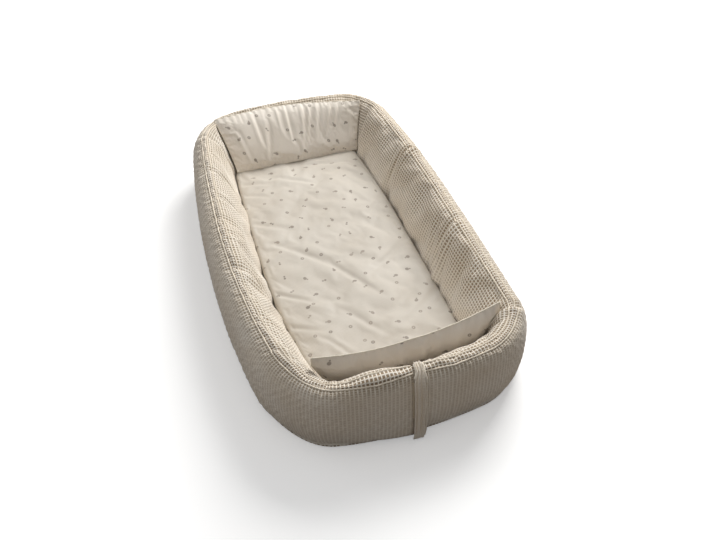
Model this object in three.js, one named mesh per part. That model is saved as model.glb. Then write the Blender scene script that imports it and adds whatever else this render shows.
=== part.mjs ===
// A padded infant lounger: soft wall, printed mattress and two printed end pads, millimetres, +Z up.
// The foot end, with the closure flap, is at -Y. The origin is on the floor under the middle.
import * as THREE from 'three';

// Driving dimensions of the whole nest
const LENGTH = 900;
const WIDTH = 514;
const WALL_HEIGHT = 154;
const HEAD_BOW = 28; // the middle of an end stands out this far past its corners
const FOOT_LEFT_BOW = 44;
const FOOT_RIGHT_BOW = 36;
const FOOT_LEFT_DRAW = 54; // each corner is drawn in this far from the widest place of its side
const HEAD_LEFT_DRAW = 36;
const HEAD_RIGHT_DRAW = 34;
const FOOT_RIGHT_DRAW = 8;
const FOOT_LEFT_INNER_DRAW = 38; // the same for the mattress's corners
const HEAD_LEFT_INNER_DRAW = 8;
const HEAD_RIGHT_INNER_DRAW = 16;
const FOOT_RIGHT_INNER_DRAW = 0;
const SIDE_WALL = 100; // wall thickness at the mattress, at the middle of each side
const HEAD_WALL = 92;
const FOOT_WALL = 50;
const FOOT_LEFT_RADIUS = 126;
const FOOT_RIGHT_RADIUS = 112;
const HEAD_RIGHT_RADIUS = 106;
const HEAD_LEFT_RADIUS = 104;

// Cloth, wadding and the gap that pieces keep from each other
const GAP = 0.3;
const WAFFLE = 1.8; // waffle cloth with its thin backing
const COTTON = 1; // printed cotton
const WADDING = 3;
const SEAM_RADIUS = 2.2; // the raised seams round the top
const BASE_INSET = 7; // the bottom cloth stops this far inside the wall
const BASE_FOOT_INSET = 12;

// Sewn tucks that draw the wall in
const TUCK_DEPTH = 9;
const TUCK_DROP = 3;
const TUCK_REACH = 34; // from the tuck to where the wall is full again

// Closure at the foot
const JOIN_X = 6; // where the two ends of the wall meet
const JOIN_DRAW = 8; // the top of the wall is drawn in here
const FLAP_LEFT = 6; // how far the flap is sewn over the left end
const FLAP_RIGHT = 15; // how far it covers the right end
const FLAP_CLOTH = 2;
const BINDING_RADIUS = 2;
const TAPE_MARGIN = 2; // between a tape and the edges of what it is sewn to

// Mattress
const MATTRESS_HEIGHT = 48; // from the lining to the top of its rim
const MATTRESS_CROWN = 5;
const MATTRESS_CLEAR = 1.2; // to the wall all round
const MATTRESS_SHOULDER = 9;

// End pads, printed cushions that stand on the ends of the mattress
const HEAD_PAD_SIDE_CLEAR = 14; // from the pad's lower corners to the wall's inner line
const HEAD_PAD_SHIFT = 1; // the pad sits towards the right wall
const HEAD_PAD_FLARE = 13; // each upper corner stands out this far past the lower one
const HEAD_PAD_SETBACK = 49; // from the wall's inner line to the crease
const HEAD_PAD_LEAN = 50; // the top edge lies this far behind the crease at the corners
const HEAD_PAD_BOW = 20;
const HEAD_PAD_SKEW = -10; // the right end of the top edge lies this far behind its middle
const HEAD_PAD_DROP = 5; // from the top of the wall down to the pad's top edge
const HEAD_PAD_FRONT = 11;
const HEAD_PAD_REAR = 13;
const FOOT_PAD_SIDE_CLEAR = 12;
const FOOT_PAD_FLARE = 26;
const FOOT_PAD_SHIFT = 20;
const FOOT_PAD_SETBACK = 42;
const FOOT_PAD_LEAN = -12;
const FOOT_PAD_BOW = 29;
const FOOT_PAD_SKEW = 8;
const FOOT_PAD_DROP = 5;
const FOOT_PAD_FRONT = 3;
const FOOT_PAD_REAR = 22;

// Shares, chosen by hand
const innerRadiusShare = 0.26; // inner corner radius to outer corner radius
const leftTuckShares = [0.34, 0.8]; // along the left side, from the foot
const rightTuckShares = [0.29, 0.65]; // along the right side, from the head
const headSeatShare = 0.22; // height of the crown under the head pad, of the whole crown
const footSeatShare = 0.02;
const joinReachShare = 0.5; // the draw at the join reaches this far towards each corner
const fillSplitShare = 0.5; // the bolsters meet half way round each corner
const fillEndClearShare = 0.02; // sections closer to a bolster's end than this are left out
const leastRadiusShare = 0.5; // a corner radius keeps this much of itself when a box is inset
const tuckStationShares = [-1, -0.4, 0, 0.4, 1]; // sections across a tuck, of its reach
const tuckClearShare = 1.3; // even sections stay this far from a tuck, of its reach
const tuckPower = 1.5; // how sharply a tuck fades
const shoulderInShare = 0.25; // the mattress rim's middle point, of its shoulder
const shoulderDropShare = 0.33;
const crownShares = [[0.33, 0.96], [0.62, 0.8], [0.85, 0.35]]; // scale from the middle, of the crown
const acrossShares = [-1, -0.96, -0.85, -0.6, -0.3, 0, 0.3, 0.6, 0.85, 0.96, 1]; // a pad's grid
const upShares = [0, 0.05, 0.16, 0.38, 0.65, 0.86, 0.96, 1];
const cordSideCount = 6;

// Wall section as shares of its thickness and of its height, up the outside, over the top and
// down the inside. Points 5 and 6 are the raised seams.
const outerSeamIndex = 5;
const innerSeamIndex = 6;
const sideProfileShares = [
  [0.08, 0], [0.02, 0.1], [0, 0.36], [0.04, 0.68], [0.16, 0.88],
  [0.33, 0.985], [0.47, 1],
  [0.6, 0.92], [0.77, 0.73], [0.91, 0.49], [1, 0.28], [1, 0],
];
const footProfileShares = [
  [0.06, 0], [0.01, 0.1], [0, 0.36], [0.01, 0.7], [0.06, 0.9],
  [0.2, 0.985], [0.42, 1],
  [0.66, 0.93], [0.84, 0.76], [0.95, 0.5], [1, 0.28], [1, 0],
];
const lappedShares = [0.2, 0.1]; // the lapped end is drawn in by these at its lowest two points
const tuckedUnderShares = [0.2, 0.12]; // and so is the foot-left corner, by these

// Heights that follow from the layers of the bottom
const WADDING_Z = WAFFLE + GAP;
const LINING_Z = WADDING_Z + WADDING + GAP;
const BASE_TOP = LINING_Z + COTTON;
const WALL_Z = BASE_TOP + GAP;
const UNDERSIDE_Z = BASE_TOP + GAP;
const SKIRT_Z = UNDERSIDE_Z + COTTON + GAP;
const MATTRESS_TOP = BASE_TOP + MATTRESS_HEIGHT;
const FILL_OFFSET = -Math.max(WAFFLE, SEAM_RADIUS) - GAP;

// Materials
const waffleCloth = { color: 0xcfc2ae, roughness: 0.95, metalness: 0 };
const plainCotton = { color: 0xe6ddce, roughness: 0.9, metalness: 0 };
const printedCotton = { color: 0xded4c4, roughness: 0.85, metalness: 0 };
const fibre = { color: 0xf4f2ee, roughness: 1, metalness: 0 };
const tapeNylon = { color: 0xd8cdbb, roughness: 0.8, metalness: 0 };

const nest = new THREE.Group();

function addPiece(name, geometry, look) {
  const mesh = new THREE.Mesh(geometry, new THREE.MeshStandardMaterial(look));
  mesh.name = name;
  nest.add(mesh);
}

// A closed geometry from points and triangles, turned so that its faces point out
function closedGeometry(points, triangles) {
  let volume = 0;
  const normal = new THREE.Vector3();
  for (const [i, j, k] of triangles) {
    volume += points[i].dot(normal.crossVectors(points[j], points[k]));
  }
  const facing = volume < 0 ? triangles.map(([i, j, k]) => [i, k, j]) : triangles;
  const geometry = new THREE.BufferGeometry().setFromPoints(points);
  geometry.setIndex(facing.flat());
  return geometry;
}

// Joins rings of points into a body. Each end is closed by cap triangles over its ring.
function loftRings(rings, capTriangles) {
  const count = rings[0].length;
  const triangles = [];
  for (let r = 0; r + 1 < rings.length; r += 1) {
    for (let i = 0; i < count; i += 1) {
      const a = r * count + i;
      const b = r * count + ((i + 1) % count);
      triangles.push([a, b, b + count], [a, b + count, a + count]);
    }
  }
  const last = (rings.length - 1) * count;
  for (const [i, j, k] of capTriangles) {
    triangles.push([i, k, j], [last + i, last + j, last + k]);
  }
  return closedGeometry(rings.flat(), triangles);
}

// Joins rings into a body whose first and last ring close on a middle point
function ringStack(firstMiddle, rings, lastMiddle) {
  const count = rings[0].length;
  const points = [firstMiddle, ...rings.flat(), lastMiddle];
  const triangles = [];
  for (let i = 0; i < count; i += 1) {
    const next = (i + 1) % count;
    triangles.push([0, 1 + next, 1 + i]);
    for (let r = 0; r + 1 < rings.length; r += 1) {
      const a = 1 + r * count + i;
      const b = 1 + r * count + next;
      triangles.push([a, b, b + count], [a, b + count, a + count]);
    }
    const lastRing = 1 + (rings.length - 1) * count;
    triangles.push([lastRing + i, lastRing + next, points.length - 1]);
  }
  return closedGeometry(points, triangles);
}

// Joins a front grid and a back grid of points, row by row, into a closed sheet or block
function gridBody(front, back) {
  const rows = front.length;
  const columns = front[0].length;
  const points = [...front.flat(), ...back.flat()];
  const shift = rows * columns;
  const triangles = [];
  for (let r = 0; r + 1 < rows; r += 1) {
    for (let c = 0; c + 1 < columns; c += 1) {
      const a = r * columns + c;
      const [b, d, e] = [a + 1, a + columns, a + columns + 1];
      triangles.push([a, b, e], [a, e, d]);
      triangles.push([a + shift, e + shift, b + shift], [a + shift, d + shift, e + shift]);
    }
  }
  const edge = [];
  for (let c = 0; c < columns - 1; c += 1) edge.push(c);
  for (let r = 0; r < rows - 1; r += 1) edge.push(r * columns + columns - 1);
  for (let c = columns - 1; c > 0; c -= 1) edge.push((rows - 1) * columns + c);
  for (let r = rows - 1; r > 0; r -= 1) edge.push(r * columns);
  edge.forEach((a, i) => {
    const b = edge[(i + 1) % edge.length];
    triangles.push([a, b + shift, b], [a, a + shift, b + shift]);
  });
  return closedGeometry(points, triangles);
}

// Plan of the nest: boxes with round corners, whose sides and ends bow out between the corners
const outerBox = {
  side: WIDTH / 2,
  head: LENGTH / 2,
  foot: LENGTH / 2,
  draws: [FOOT_LEFT_DRAW, HEAD_LEFT_DRAW, HEAD_RIGHT_DRAW, FOOT_RIGHT_DRAW],
  bows: [FOOT_LEFT_BOW, HEAD_BOW, HEAD_BOW, FOOT_RIGHT_BOW],
  radii: [FOOT_LEFT_RADIUS, HEAD_LEFT_RADIUS, HEAD_RIGHT_RADIUS, FOOT_RIGHT_RADIUS],
};
const innerBox = {
  side: outerBox.side - SIDE_WALL,
  head: outerBox.head - HEAD_WALL,
  foot: outerBox.foot - FOOT_WALL,
  draws: [
    FOOT_LEFT_INNER_DRAW,
    HEAD_LEFT_INNER_DRAW,
    HEAD_RIGHT_INNER_DRAW,
    FOOT_RIGHT_INNER_DRAW,
  ],
  bows: outerBox.bows,
  radii: outerBox.radii.map((radius) => radius * innerRadiusShare),
};

function insetBox(box, inset, footInset = inset) {
  return {
    side: box.side - inset,
    head: box.head - inset,
    foot: box.foot - footInset,
    draws: box.draws,
    bows: box.bows,
    radii: box.radii.map((radius) => Math.max(radius - inset, radius * leastRadiusShare)),
  };
}

function bowed(box, point) {
  const atHead = point.y > 0;
  const corner = point.x < 0 ? (atHead ? 1 : 0) : (atHead ? 2 : 3);
  const across = point.x / box.side;
  const along = point.y / (atHead ? box.head : box.foot);
  const x = point.x - box.draws[corner] * along ** 2 * across ** 3;
  const y = point.y - box.bows[corner] * across ** 2 * along ** 3;
  return new THREE.Vector2(x, y);
}

// The nine stretches of the rim from the join at the foot, past the left side and the head, and
// back to the join: straight, corner, straight and so on. The whole part of place names the
// stretch and the rest is the share of it that is passed.
const stretchCount = 9;
function rimPoint(box, place) {
  const stretch = Math.min(Math.floor(place), stretchCount - 1);
  const share = place - stretch;
  const [footLeft, headLeft, headRight, footRight] = box.radii;
  const corners = [
    { x: -box.side + footLeft, y: -box.foot + footLeft, radius: footLeft, start: -Math.PI / 2 },
    { x: -box.side + headLeft, y: box.head - headLeft, radius: headLeft, start: -Math.PI },
    { x: box.side - headRight, y: box.head - headRight, radius: headRight, start: Math.PI / 2 },
    { x: box.side - footRight, y: -box.foot + footRight, radius: footRight, start: 0 },
  ];
  const onCorner = (corner, part) => {
    const angle = corner.start - part * Math.PI / 2;
    return new THREE.Vector2(
      corner.x + corner.radius * Math.cos(angle),
      corner.y + corner.radius * Math.sin(angle),
    );
  };
  if (stretch % 2 === 1) return bowed(box, onCorner(corners[(stretch - 1) / 2], share));
  const join = new THREE.Vector2(JOIN_X, -box.foot);
  const from = stretch === 0 ? join : onCorner(corners[stretch / 2 - 1], 1);
  const to = stretch === stretchCount - 1 ? join : onCorner(corners[stretch / 2], 0);
  return bowed(box, from.clone().lerp(to, share));
}

// Places round the rim where sections are cut
const leftStretch = 2;
const rightStretch = 6;
const tucks = [
  ...leftTuckShares.map((share) => leftStretch + share),
  ...rightTuckShares.map((share) => rightStretch + share),
];
const stepsIn = [2, 6, 6, 4, 4, 4, 6, 4, 2]; // even at the corners, where the bolsters meet

function rimLength(stretch) {
  return rimPoint(outerBox, stretch).distanceTo(rimPoint(outerBox, stretch + 1));
}

const evenPlaces = stepsIn.flatMap((steps, stretch) => (
  Array.from({ length: steps }, (_, i) => stretch + i / steps)
));

function wallPlaces() {
  const reachOf = (tuck) => TUCK_REACH / rimLength(Math.floor(tuck));
  const clear = evenPlaces.filter((place) => tucks.every((tuck) => (
    Math.abs(place - tuck) > reachOf(tuck) * tuckClearShare
  )));
  const near = tucks.flatMap((tuck) => (
    tuckStationShares.map((share) => tuck + share * reachOf(tuck))
  ));
  return [...clear, ...near].sort((a, b) => a - b);
}

function tuckAt(place) {
  let pull = 0;
  for (const tuck of tucks) {
    const away = Math.abs(place - tuck) * rimLength(Math.floor(tuck)) / TUCK_REACH;
    if (away < 1) pull = Math.max(pull, (1 - away) ** tuckPower);
  }
  return pull;
}

// How much of the foot's section shape a place has: all of it at the foot, none past its corners
function footShare(place) {
  const past = Math.min(place, stretchCount - place) - 1;
  return THREE.MathUtils.clamp(1 - past, 0, 1);
}

// How much of the draw at the join a place has: all of it there, none half way to each corner
function joinShare(x) {
  const toCorner = x < JOIN_X ? rimPoint(outerBox, 1).x : rimPoint(outerBox, stretchCount - 1).x;
  return Math.max(0, 1 - (x - JOIN_X) / ((toCorner - JOIN_X) * joinReachShare));
}

// A section plane through the wall, from its outer line to its inner line
function sectionThrough(outer, inner, shape) {
  const across = inner.clone().sub(outer);
  const thick = across.length();
  return { outer, across: across.normalize(), thick, ...shape };
}

function sectionAt(place) {
  const outer = rimPoint(outerBox, place);
  const foot = footShare(place);
  const atRight = place > rightStretch;
  return sectionThrough(outer, rimPoint(innerBox, place), {
    foot,
    tuck: tuckAt(place),
    join: foot === 1 ? joinShare(outer.x) : 0,
    lapped: atRight ? foot : 0,
    tuckedUnder: atRight ? 0 : Math.min(place, foot),
  });
}

// The same at the foot, at a stated distance across the nest
function footSection(x, lapped = 0) {
  const outer = bowed(outerBox, new THREE.Vector2(x, -outerBox.foot));
  const inner = bowed(innerBox, new THREE.Vector2(x, -innerBox.foot));
  const shape = { foot: 1, tuck: 0, join: joinShare(x), lapped, tuckedUnder: 0 };
  return sectionThrough(outer, inner, shape);
}

function sectionToSpace(section, point) {
  return new THREE.Vector3(
    section.outer.x + section.across.x * point.x,
    section.outer.y + section.across.y * point.x,
    point.y,
  );
}

// The wall's outline in a section plane: x is the depth from the outer line, y the height
function wallProfile(section) {
  return sideProfileShares.map(([depth, height], i) => {
    const [footDepth, footHeight] = footProfileShares[i];
    const lappedBy = (lappedShares[i] ?? 0) * section.lapped;
    const tuckedBy = (tuckedUnderShares[i] ?? 0) * section.tuckedUnder;
    const share = THREE.MathUtils.lerp(depth, footDepth, section.foot) + lappedBy + tuckedBy;
    const rise = THREE.MathUtils.lerp(height, footHeight, section.foot);
    const drawnIn = i > innerSeamIndex && rise > 0 ? Math.sin(Math.PI * rise) : 0;
    const dropped = i === outerSeamIndex || i === innerSeamIndex ? 1 : 0;
    const joinDraw = JOIN_DRAW * section.join * (i > innerSeamIndex ? 0 : rise ** 2);
    return new THREE.Vector2(
      share * section.thick - section.tuck * TUCK_DEPTH * drawnIn + joinDraw,
      WALL_Z + rise * (WALL_HEIGHT - WALL_Z) - section.tuck * TUCK_DROP * dropped,
    );
  });
}

// Moves a profile along its own outward normals. Its two ends keep their height on the bottom.
function offsetProfile(profile, offset) {
  const edgeNormal = (from, to) => {
    const along = to.clone().sub(from).normalize();
    return new THREE.Vector2(-along.y, along.x);
  };
  const last = profile.length - 1;
  return profile.map((point, i) => {
    const before = edgeNormal(profile[Math.max(i - 1, 0)], profile[Math.max(i, 1)]);
    const after = edgeNormal(profile[Math.min(i, last - 1)], profile[Math.min(i + 1, last)]);
    const normal = before.clone().add(after).normalize();
    const moved = point.clone().addScaledVector(normal, offset / normal.dot(before));
    if (point.y <= WALL_Z) moved.y = point.y;
    return moved;
  });
}

// The stretch of a profile between two of its points, cut back from the seams at its ends
function profileStretch(profile, from, to) {
  const points = profile.slice(from, to + 1).map((point) => point.clone());
  const cutBack = (end, neighbour) => {
    const towards = neighbour.clone().sub(end).normalize();
    end.addScaledVector(towards, SEAM_RADIUS + GAP);
  };
  const isSeam = (i) => i === outerSeamIndex || i === innerSeamIndex;
  if (isSeam(from)) cutBack(points[0], profile[from + 1]);
  if (isSeam(to)) cutBack(points[points.length - 1], profile[to - 1]);
  return points;
}

// Triangles over a ring, each running the same way round as the ring
function capOf(ring) {
  const triangles = THREE.ShapeUtils.triangulateShape(ring, []);
  return triangles.map((corners) => [...corners].sort((a, b) => a - b));
}

// A strip of cloth on the wall, through the given sections
function wallStrip(sections, from, to, inside, outside, trim = true) {
  const face = (offset) => sections.map((section) => {
    const profile = wallProfile(section);
    const points = trim ? profileStretch(profile, from, to) : profile.slice(from, to + 1);
    return offsetProfile(points, offset).map((point) => sectionToSpace(section, point));
  });
  return gridBody(face(outside), face(inside));
}

function roundRing(middle, radius) {
  return Array.from({ length: cordSideCount }, (_, i) => {
    const angle = 2 * Math.PI * i / cordSideCount;
    return new THREE.Vector2(
      middle.x + radius * Math.cos(angle),
      middle.y + radius * Math.sin(angle),
    );
  });
}

const cordCap = capOf(roundRing(new THREE.Vector2(), SEAM_RADIUS));

// Sections of the whole wall, from one side of the join round to the other
const END_CLOTH = GAP / 2 + WAFFLE;
const leftEndSection = footSection(JOIN_X - END_CLOTH - GAP);
const rightEndSection = footSection(JOIN_X + END_CLOTH + GAP, 1);
const wallSections = [
  leftEndSection,
  ...wallPlaces().filter((place) => place > 0).map(sectionAt),
  rightEndSection,
];

function makeWallCover() {
  const last = sideProfileShares.length - 1;
  addPiece('outer_panel', wallStrip(wallSections, 0, outerSeamIndex, -WAFFLE, 0), waffleCloth);
  addPiece('top_band', wallStrip(wallSections, outerSeamIndex, innerSeamIndex, -WAFFLE, 0), waffleCloth);
  addPiece('inner_panel', wallStrip(wallSections, innerSeamIndex, last, -WAFFLE, 0), waffleCloth);
}

function makeSeamCord(name, seam) {
  const rings = wallSections.map((section) => {
    const middle = wallProfile(section)[seam];
    return roundRing(middle, SEAM_RADIUS).map((p) => sectionToSpace(section, p));
  });
  addPiece(name, loftRings(rings, cordCap), waffleCloth);
}

function makeEndPanel(name, from, to, lapped) {
  const sections = [footSection(from, lapped), footSection(to, lapped)];
  const rings = sections.map((section) => wallProfile(section));
  const spaceRings = rings.map((ring, i) => ring.map((p) => sectionToSpace(sections[i], p)));
  addPiece(name, loftRings(spaceRings, capOf(rings[0])), waffleCloth);
}

// Fibre bolsters that fill the wall, each between two places round the rim
function makeFill(name, sections) {
  const rings = sections.map((section) => offsetProfile(wallProfile(section), FILL_OFFSET));
  const spaceRings = rings.map((ring, i) => ring.map((p) => sectionToSpace(sections[i], p)));
  addPiece(name, loftRings(spaceRings, capOf(rings[0])), fibre);
}

function makeFills() {
  const corners = [1, 3, 5, 7].map((stretch) => stretch + fillSplitShare);
  const between = (from, to) => {
    const [first, last] = [from + fillEndClearShare, to - fillEndClearShare];
    return wallPlaces().filter((place) => place > first && place < last).map(sectionAt);
  };
  const [footLeft, headLeft, headRight, footRight] = corners;
  const clearOf = (corner) => GAP * 2 / rimLength(Math.floor(corner));
  const startAt = (corner) => sectionAt(corner + clearOf(corner));
  const endAt = (corner) => sectionAt(corner - clearOf(corner));
  makeFill('fill_foot_left', [leftEndSection, ...between(0, footLeft), endAt(footLeft)]);
  makeFill('fill_left', [startAt(footLeft), ...between(footLeft, headLeft), endAt(headLeft)]);
  makeFill('fill_head', [startAt(headLeft), ...between(headLeft, headRight), endAt(headRight)]);
  makeFill('fill_right', [startAt(headRight), ...between(headRight, footRight), endAt(footRight)]);
  makeFill('fill_foot_right', [startAt(footRight), ...between(footRight, stretchCount), rightEndSection]);
}

// The bottom: outer cloth, wadding and lining under the whole nest
function makeBase() {
  const plate = (name, inset, z, thick, look) => {
    const box = insetBox(outerBox, inset, inset + BASE_FOOT_INSET - BASE_INSET);
    const rim = evenPlaces.map((place) => rimPoint(box, place));
    const geometry = new THREE.ExtrudeGeometry(new THREE.Shape(rim), {
      depth: thick,
      bevelEnabled: false,
    });
    geometry.translate(0, 0, z);
    addPiece(name, geometry, look);
  };
  plate('base_panel', BASE_INSET, 0, WAFFLE, waffleCloth);
  plate('base_wadding', BASE_INSET + WADDING, WADDING_Z, WADDING, fibre);
  plate('base_lining', BASE_INSET, LINING_Z, COTTON, plainCotton);
}

// Closure flap over the join, with its tapes and its bound edge
const FLAP_START = JOIN_X - FLAP_LEFT;
const FLAP_END = JOIN_X + FLAP_RIGHT;
const FLAP_LIFT = SEAM_RADIUS + GAP * 2; // the flap passes over the raised seams
const TAPE_THICK = (FLAP_LIFT - GAP * 3) / 2; // hook tape and loop tape fill the space under it
function sectionsAcross(from, to, steps) {
  return Array.from({ length: steps + 1 }, (_, i) => footSection(from + (to - from) * i / steps));
}

function makeClosure() {
  const tapeFrom = 2;
  const tapeTo = outerSeamIndex - 1;
  const hookFrom = JOIN_X + TAPE_MARGIN;
  const hookTo = FLAP_END - TAPE_MARGIN;
  const hookTop = GAP + TAPE_THICK;
  const rootTop = FLAP_LIFT - GAP;
  const hook = sectionsAcross(hookFrom, hookTo, 2);
  const root = sectionsAcross(FLAP_START, JOIN_X - TAPE_MARGIN, 1);
  const flap = sectionsAcross(FLAP_START, FLAP_END, 4);
  const tape = (sections, low, high) => wallStrip(sections, tapeFrom, tapeTo, low, high, false);
  addPiece('hook_tape', tape(hook, GAP, hookTop), tapeNylon);
  addPiece('loop_tape', tape(hook, hookTop + GAP, FLAP_LIFT - GAP), tapeNylon);
  addPiece('flap_root_tape', tape(root, GAP, rootTop), tapeNylon);
  const flapShape = wallStrip(flap, 0, innerSeamIndex, FLAP_LIFT, FLAP_LIFT + FLAP_CLOTH, false);
  addPiece('closure_flap', flapShape, waffleCloth);

  const edgeX = FLAP_END + BINDING_RADIUS + GAP;
  const section = footSection(edgeX);
  const lift = SEAM_RADIUS + GAP + BINDING_RADIUS;
  const middle = offsetProfile(wallProfile(section).slice(0, innerSeamIndex + 1), lift);
  const rings = middle.map((point, i) => {
    const before = middle[Math.max(i - 1, 0)];
    const after = middle[Math.min(i + 1, middle.length - 1)];
    const along = after.clone().sub(before).normalize();
    return Array.from({ length: cordSideCount }, (_, s) => {
      const angle = 2 * Math.PI * s / cordSideCount;
      const out = BINDING_RADIUS * Math.cos(angle);
      const place = new THREE.Vector2(point.x - along.y * out, point.y + along.x * out);
      if (i === 0) place.y = point.y;
      const ringPoint = sectionToSpace(section, place);
      ringPoint.x += BINDING_RADIUS * Math.sin(angle);
      return ringPoint;
    });
  });
  addPiece('flap_binding', loftRings(rings, cordCap), waffleCloth);
}

// Mattress: a crowned foam block in a cover whose skirt meets the underside cloth
function mattressRing(inset, scale, z) {
  const box = insetBox(innerBox, MATTRESS_CLEAR + inset);
  return evenPlaces.map((place) => {
    const point = rimPoint(box, place).multiplyScalar(scale);
    return new THREE.Vector3(point.x, point.y, z);
  });
}

function mattressTopRings(inset) {
  const shoulder = MATTRESS_SHOULDER;
  const crowned = crownShares.map(([scale, rise]) => (
    mattressRing(inset, scale, MATTRESS_TOP - inset + MATTRESS_CROWN * rise)
  ));
  return [
    ...crowned,
    mattressRing(inset + shoulder, 1, MATTRESS_TOP - inset),
    mattressRing(
      inset + shoulder * shoulderInShare,
      1,
      MATTRESS_TOP - inset - shoulder * shoulderDropShare,
    ),
    mattressRing(inset, 1, MATTRESS_TOP - inset - shoulder),
  ];
}

function makeMattress() {
  const middleAt = (z) => new THREE.Vector3(0, 0, z);
  const top = MATTRESS_TOP + MATTRESS_CROWN;
  const coverOutside = [...mattressTopRings(0), mattressRing(0, 1, SKIRT_Z)];
  const coverInside = [...mattressTopRings(COTTON), mattressRing(COTTON, 1, SKIRT_Z)].reverse();
  const cover = ringStack(middleAt(top), [...coverOutside, ...coverInside], middleAt(top - COTTON));
  addPiece('mattress_cover', cover, printedCotton);

  const coreInset = COTTON + GAP * 2;
  const coreRings = [...mattressTopRings(coreInset), mattressRing(coreInset, 1, SKIRT_Z)];
  const core = ringStack(middleAt(top - coreInset), coreRings, middleAt(SKIRT_Z));
  addPiece('mattress_core', core, fibre);

  const rim = mattressRing(0, 1, 0).map((point) => new THREE.Vector2(point.x, point.y));
  const underside = new THREE.ExtrudeGeometry(new THREE.Shape(rim), {
    depth: COTTON,
    bevelEnabled: false,
  });
  underside.translate(0, 0, UNDERSIDE_Z);
  addPiece('mattress_underside', underside, plainCotton);
}

// A pad is a cushion between a straight foot line and a bowed top line. Its front faces the
// sleeper. Front cover, back cover and filling are separate pieces.
function padSurface(pad, across, up, side, offset) {
  const foot = new THREE.Vector3(pad.shift + across * pad.footHalf, pad.footY, pad.footZ);
  const top = new THREE.Vector3(
    pad.shift + across * pad.topHalf,
    pad.topY + pad.bow * (1 - across ** 2) + pad.skew * across,
    pad.topZ,
  );
  const depth = side > 0 ? pad.front : pad.rear;
  const swell = (1 - Math.abs(across) ** pad.acrossPower) * (1 - Math.abs(2 * up - 1) ** pad.upPower);
  const lean = new THREE.Vector3(0, pad.topY + pad.bow / 2 - pad.footY, pad.topZ - pad.footZ);
  const normal = new THREE.Vector3(0, lean.z * pad.facing, -lean.y * pad.facing).normalize();
  return foot.lerp(top, up).addScaledVector(normal, side * (depth * swell + offset));
}

function padGrid(pad, side, offset, ups = upShares, acrosses = acrossShares) {
  return ups.map((up) => acrosses.map((across) => padSurface(pad, across, up, side, offset)));
}

function makePad(name, pad) {
  const cover = (side) => gridBody(padGrid(pad, side, GAP / 2 + COTTON), padGrid(pad, side, GAP / 2));
  addPiece(`${name}_front`, cover(1), printedCotton);
  addPiece(`${name}_back`, cover(-1), printedCotton);
  // The filling stops short of the sewn edges
  const within = [upShares.slice(1, -1), acrossShares.slice(1, -1)];
  const fill = gridBody(padGrid(pad, 1, -GAP / 2, ...within), padGrid(pad, -1, -GAP / 2, ...within));
  addPiece(`${name}_fill`, fill, fibre);
}

const padSeat = (crownShare) => MATTRESS_TOP + MATTRESS_CROWN * crownShare + COTTON + GAP;
const headPad = {
  shift: HEAD_PAD_SHIFT,
  footHalf: innerBox.side - HEAD_PAD_SIDE_CLEAR,
  topHalf: innerBox.side - HEAD_PAD_SIDE_CLEAR + HEAD_PAD_FLARE,
  footY: innerBox.head - HEAD_PAD_SETBACK,
  topY: innerBox.head - HEAD_PAD_SETBACK + HEAD_PAD_LEAN,
  bow: HEAD_PAD_BOW,
  skew: HEAD_PAD_SKEW,
  footZ: padSeat(headSeatShare),
  topZ: WALL_HEIGHT - HEAD_PAD_DROP,
  front: HEAD_PAD_FRONT,
  rear: HEAD_PAD_REAR,
  acrossPower: 5,
  upPower: 4,
  facing: -1,
};
const footPad = {
  shift: FOOT_PAD_SHIFT,
  footHalf: innerBox.side - FOOT_PAD_SIDE_CLEAR - FOOT_PAD_SHIFT,
  topHalf: innerBox.side - FOOT_PAD_SIDE_CLEAR - FOOT_PAD_SHIFT + FOOT_PAD_FLARE,
  footY: -innerBox.foot + FOOT_PAD_SETBACK,
  topY: -innerBox.foot + FOOT_PAD_SETBACK - FOOT_PAD_LEAN,
  bow: -FOOT_PAD_BOW,
  skew: FOOT_PAD_SKEW,
  footZ: padSeat(footSeatShare),
  topZ: WALL_HEIGHT - FOOT_PAD_DROP,
  front: FOOT_PAD_FRONT,
  rear: FOOT_PAD_REAR,
  acrossPower: 12,
  upPower: 8,
  facing: 1,
};

makeBase();
makeFills();
makeWallCover();
makeSeamCord('outer_seam_cord', outerSeamIndex);
makeSeamCord('inner_seam_cord', innerSeamIndex);
makeEndPanel('end_panel_left', JOIN_X - END_CLOTH, JOIN_X - GAP / 2, 0);
makeEndPanel('end_panel_right', JOIN_X + GAP / 2, JOIN_X + END_CLOTH, 1);
makeClosure();
makeMattress();
makePad('head_pad', headPad);
makePad('foot_pad', footPad);

export default nest;
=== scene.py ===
import math

import bmesh
import bpy
import numpy as np
from mathutils import Matrix, Vector
from mathutils.bvhtree import BVHTree


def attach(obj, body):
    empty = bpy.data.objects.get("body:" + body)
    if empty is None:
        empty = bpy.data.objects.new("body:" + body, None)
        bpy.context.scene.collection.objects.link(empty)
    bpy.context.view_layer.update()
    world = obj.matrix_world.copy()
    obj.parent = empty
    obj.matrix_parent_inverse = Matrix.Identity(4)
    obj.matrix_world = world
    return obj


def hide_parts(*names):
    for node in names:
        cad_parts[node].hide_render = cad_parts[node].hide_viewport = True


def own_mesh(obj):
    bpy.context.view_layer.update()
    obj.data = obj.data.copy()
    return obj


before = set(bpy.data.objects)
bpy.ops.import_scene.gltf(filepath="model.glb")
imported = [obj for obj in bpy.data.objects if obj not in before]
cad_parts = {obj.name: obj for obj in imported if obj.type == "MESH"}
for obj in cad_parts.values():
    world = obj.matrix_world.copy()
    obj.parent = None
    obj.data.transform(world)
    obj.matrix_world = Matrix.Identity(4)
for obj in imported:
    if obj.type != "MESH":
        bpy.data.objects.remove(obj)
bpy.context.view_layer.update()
print("frame loaded")


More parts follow.
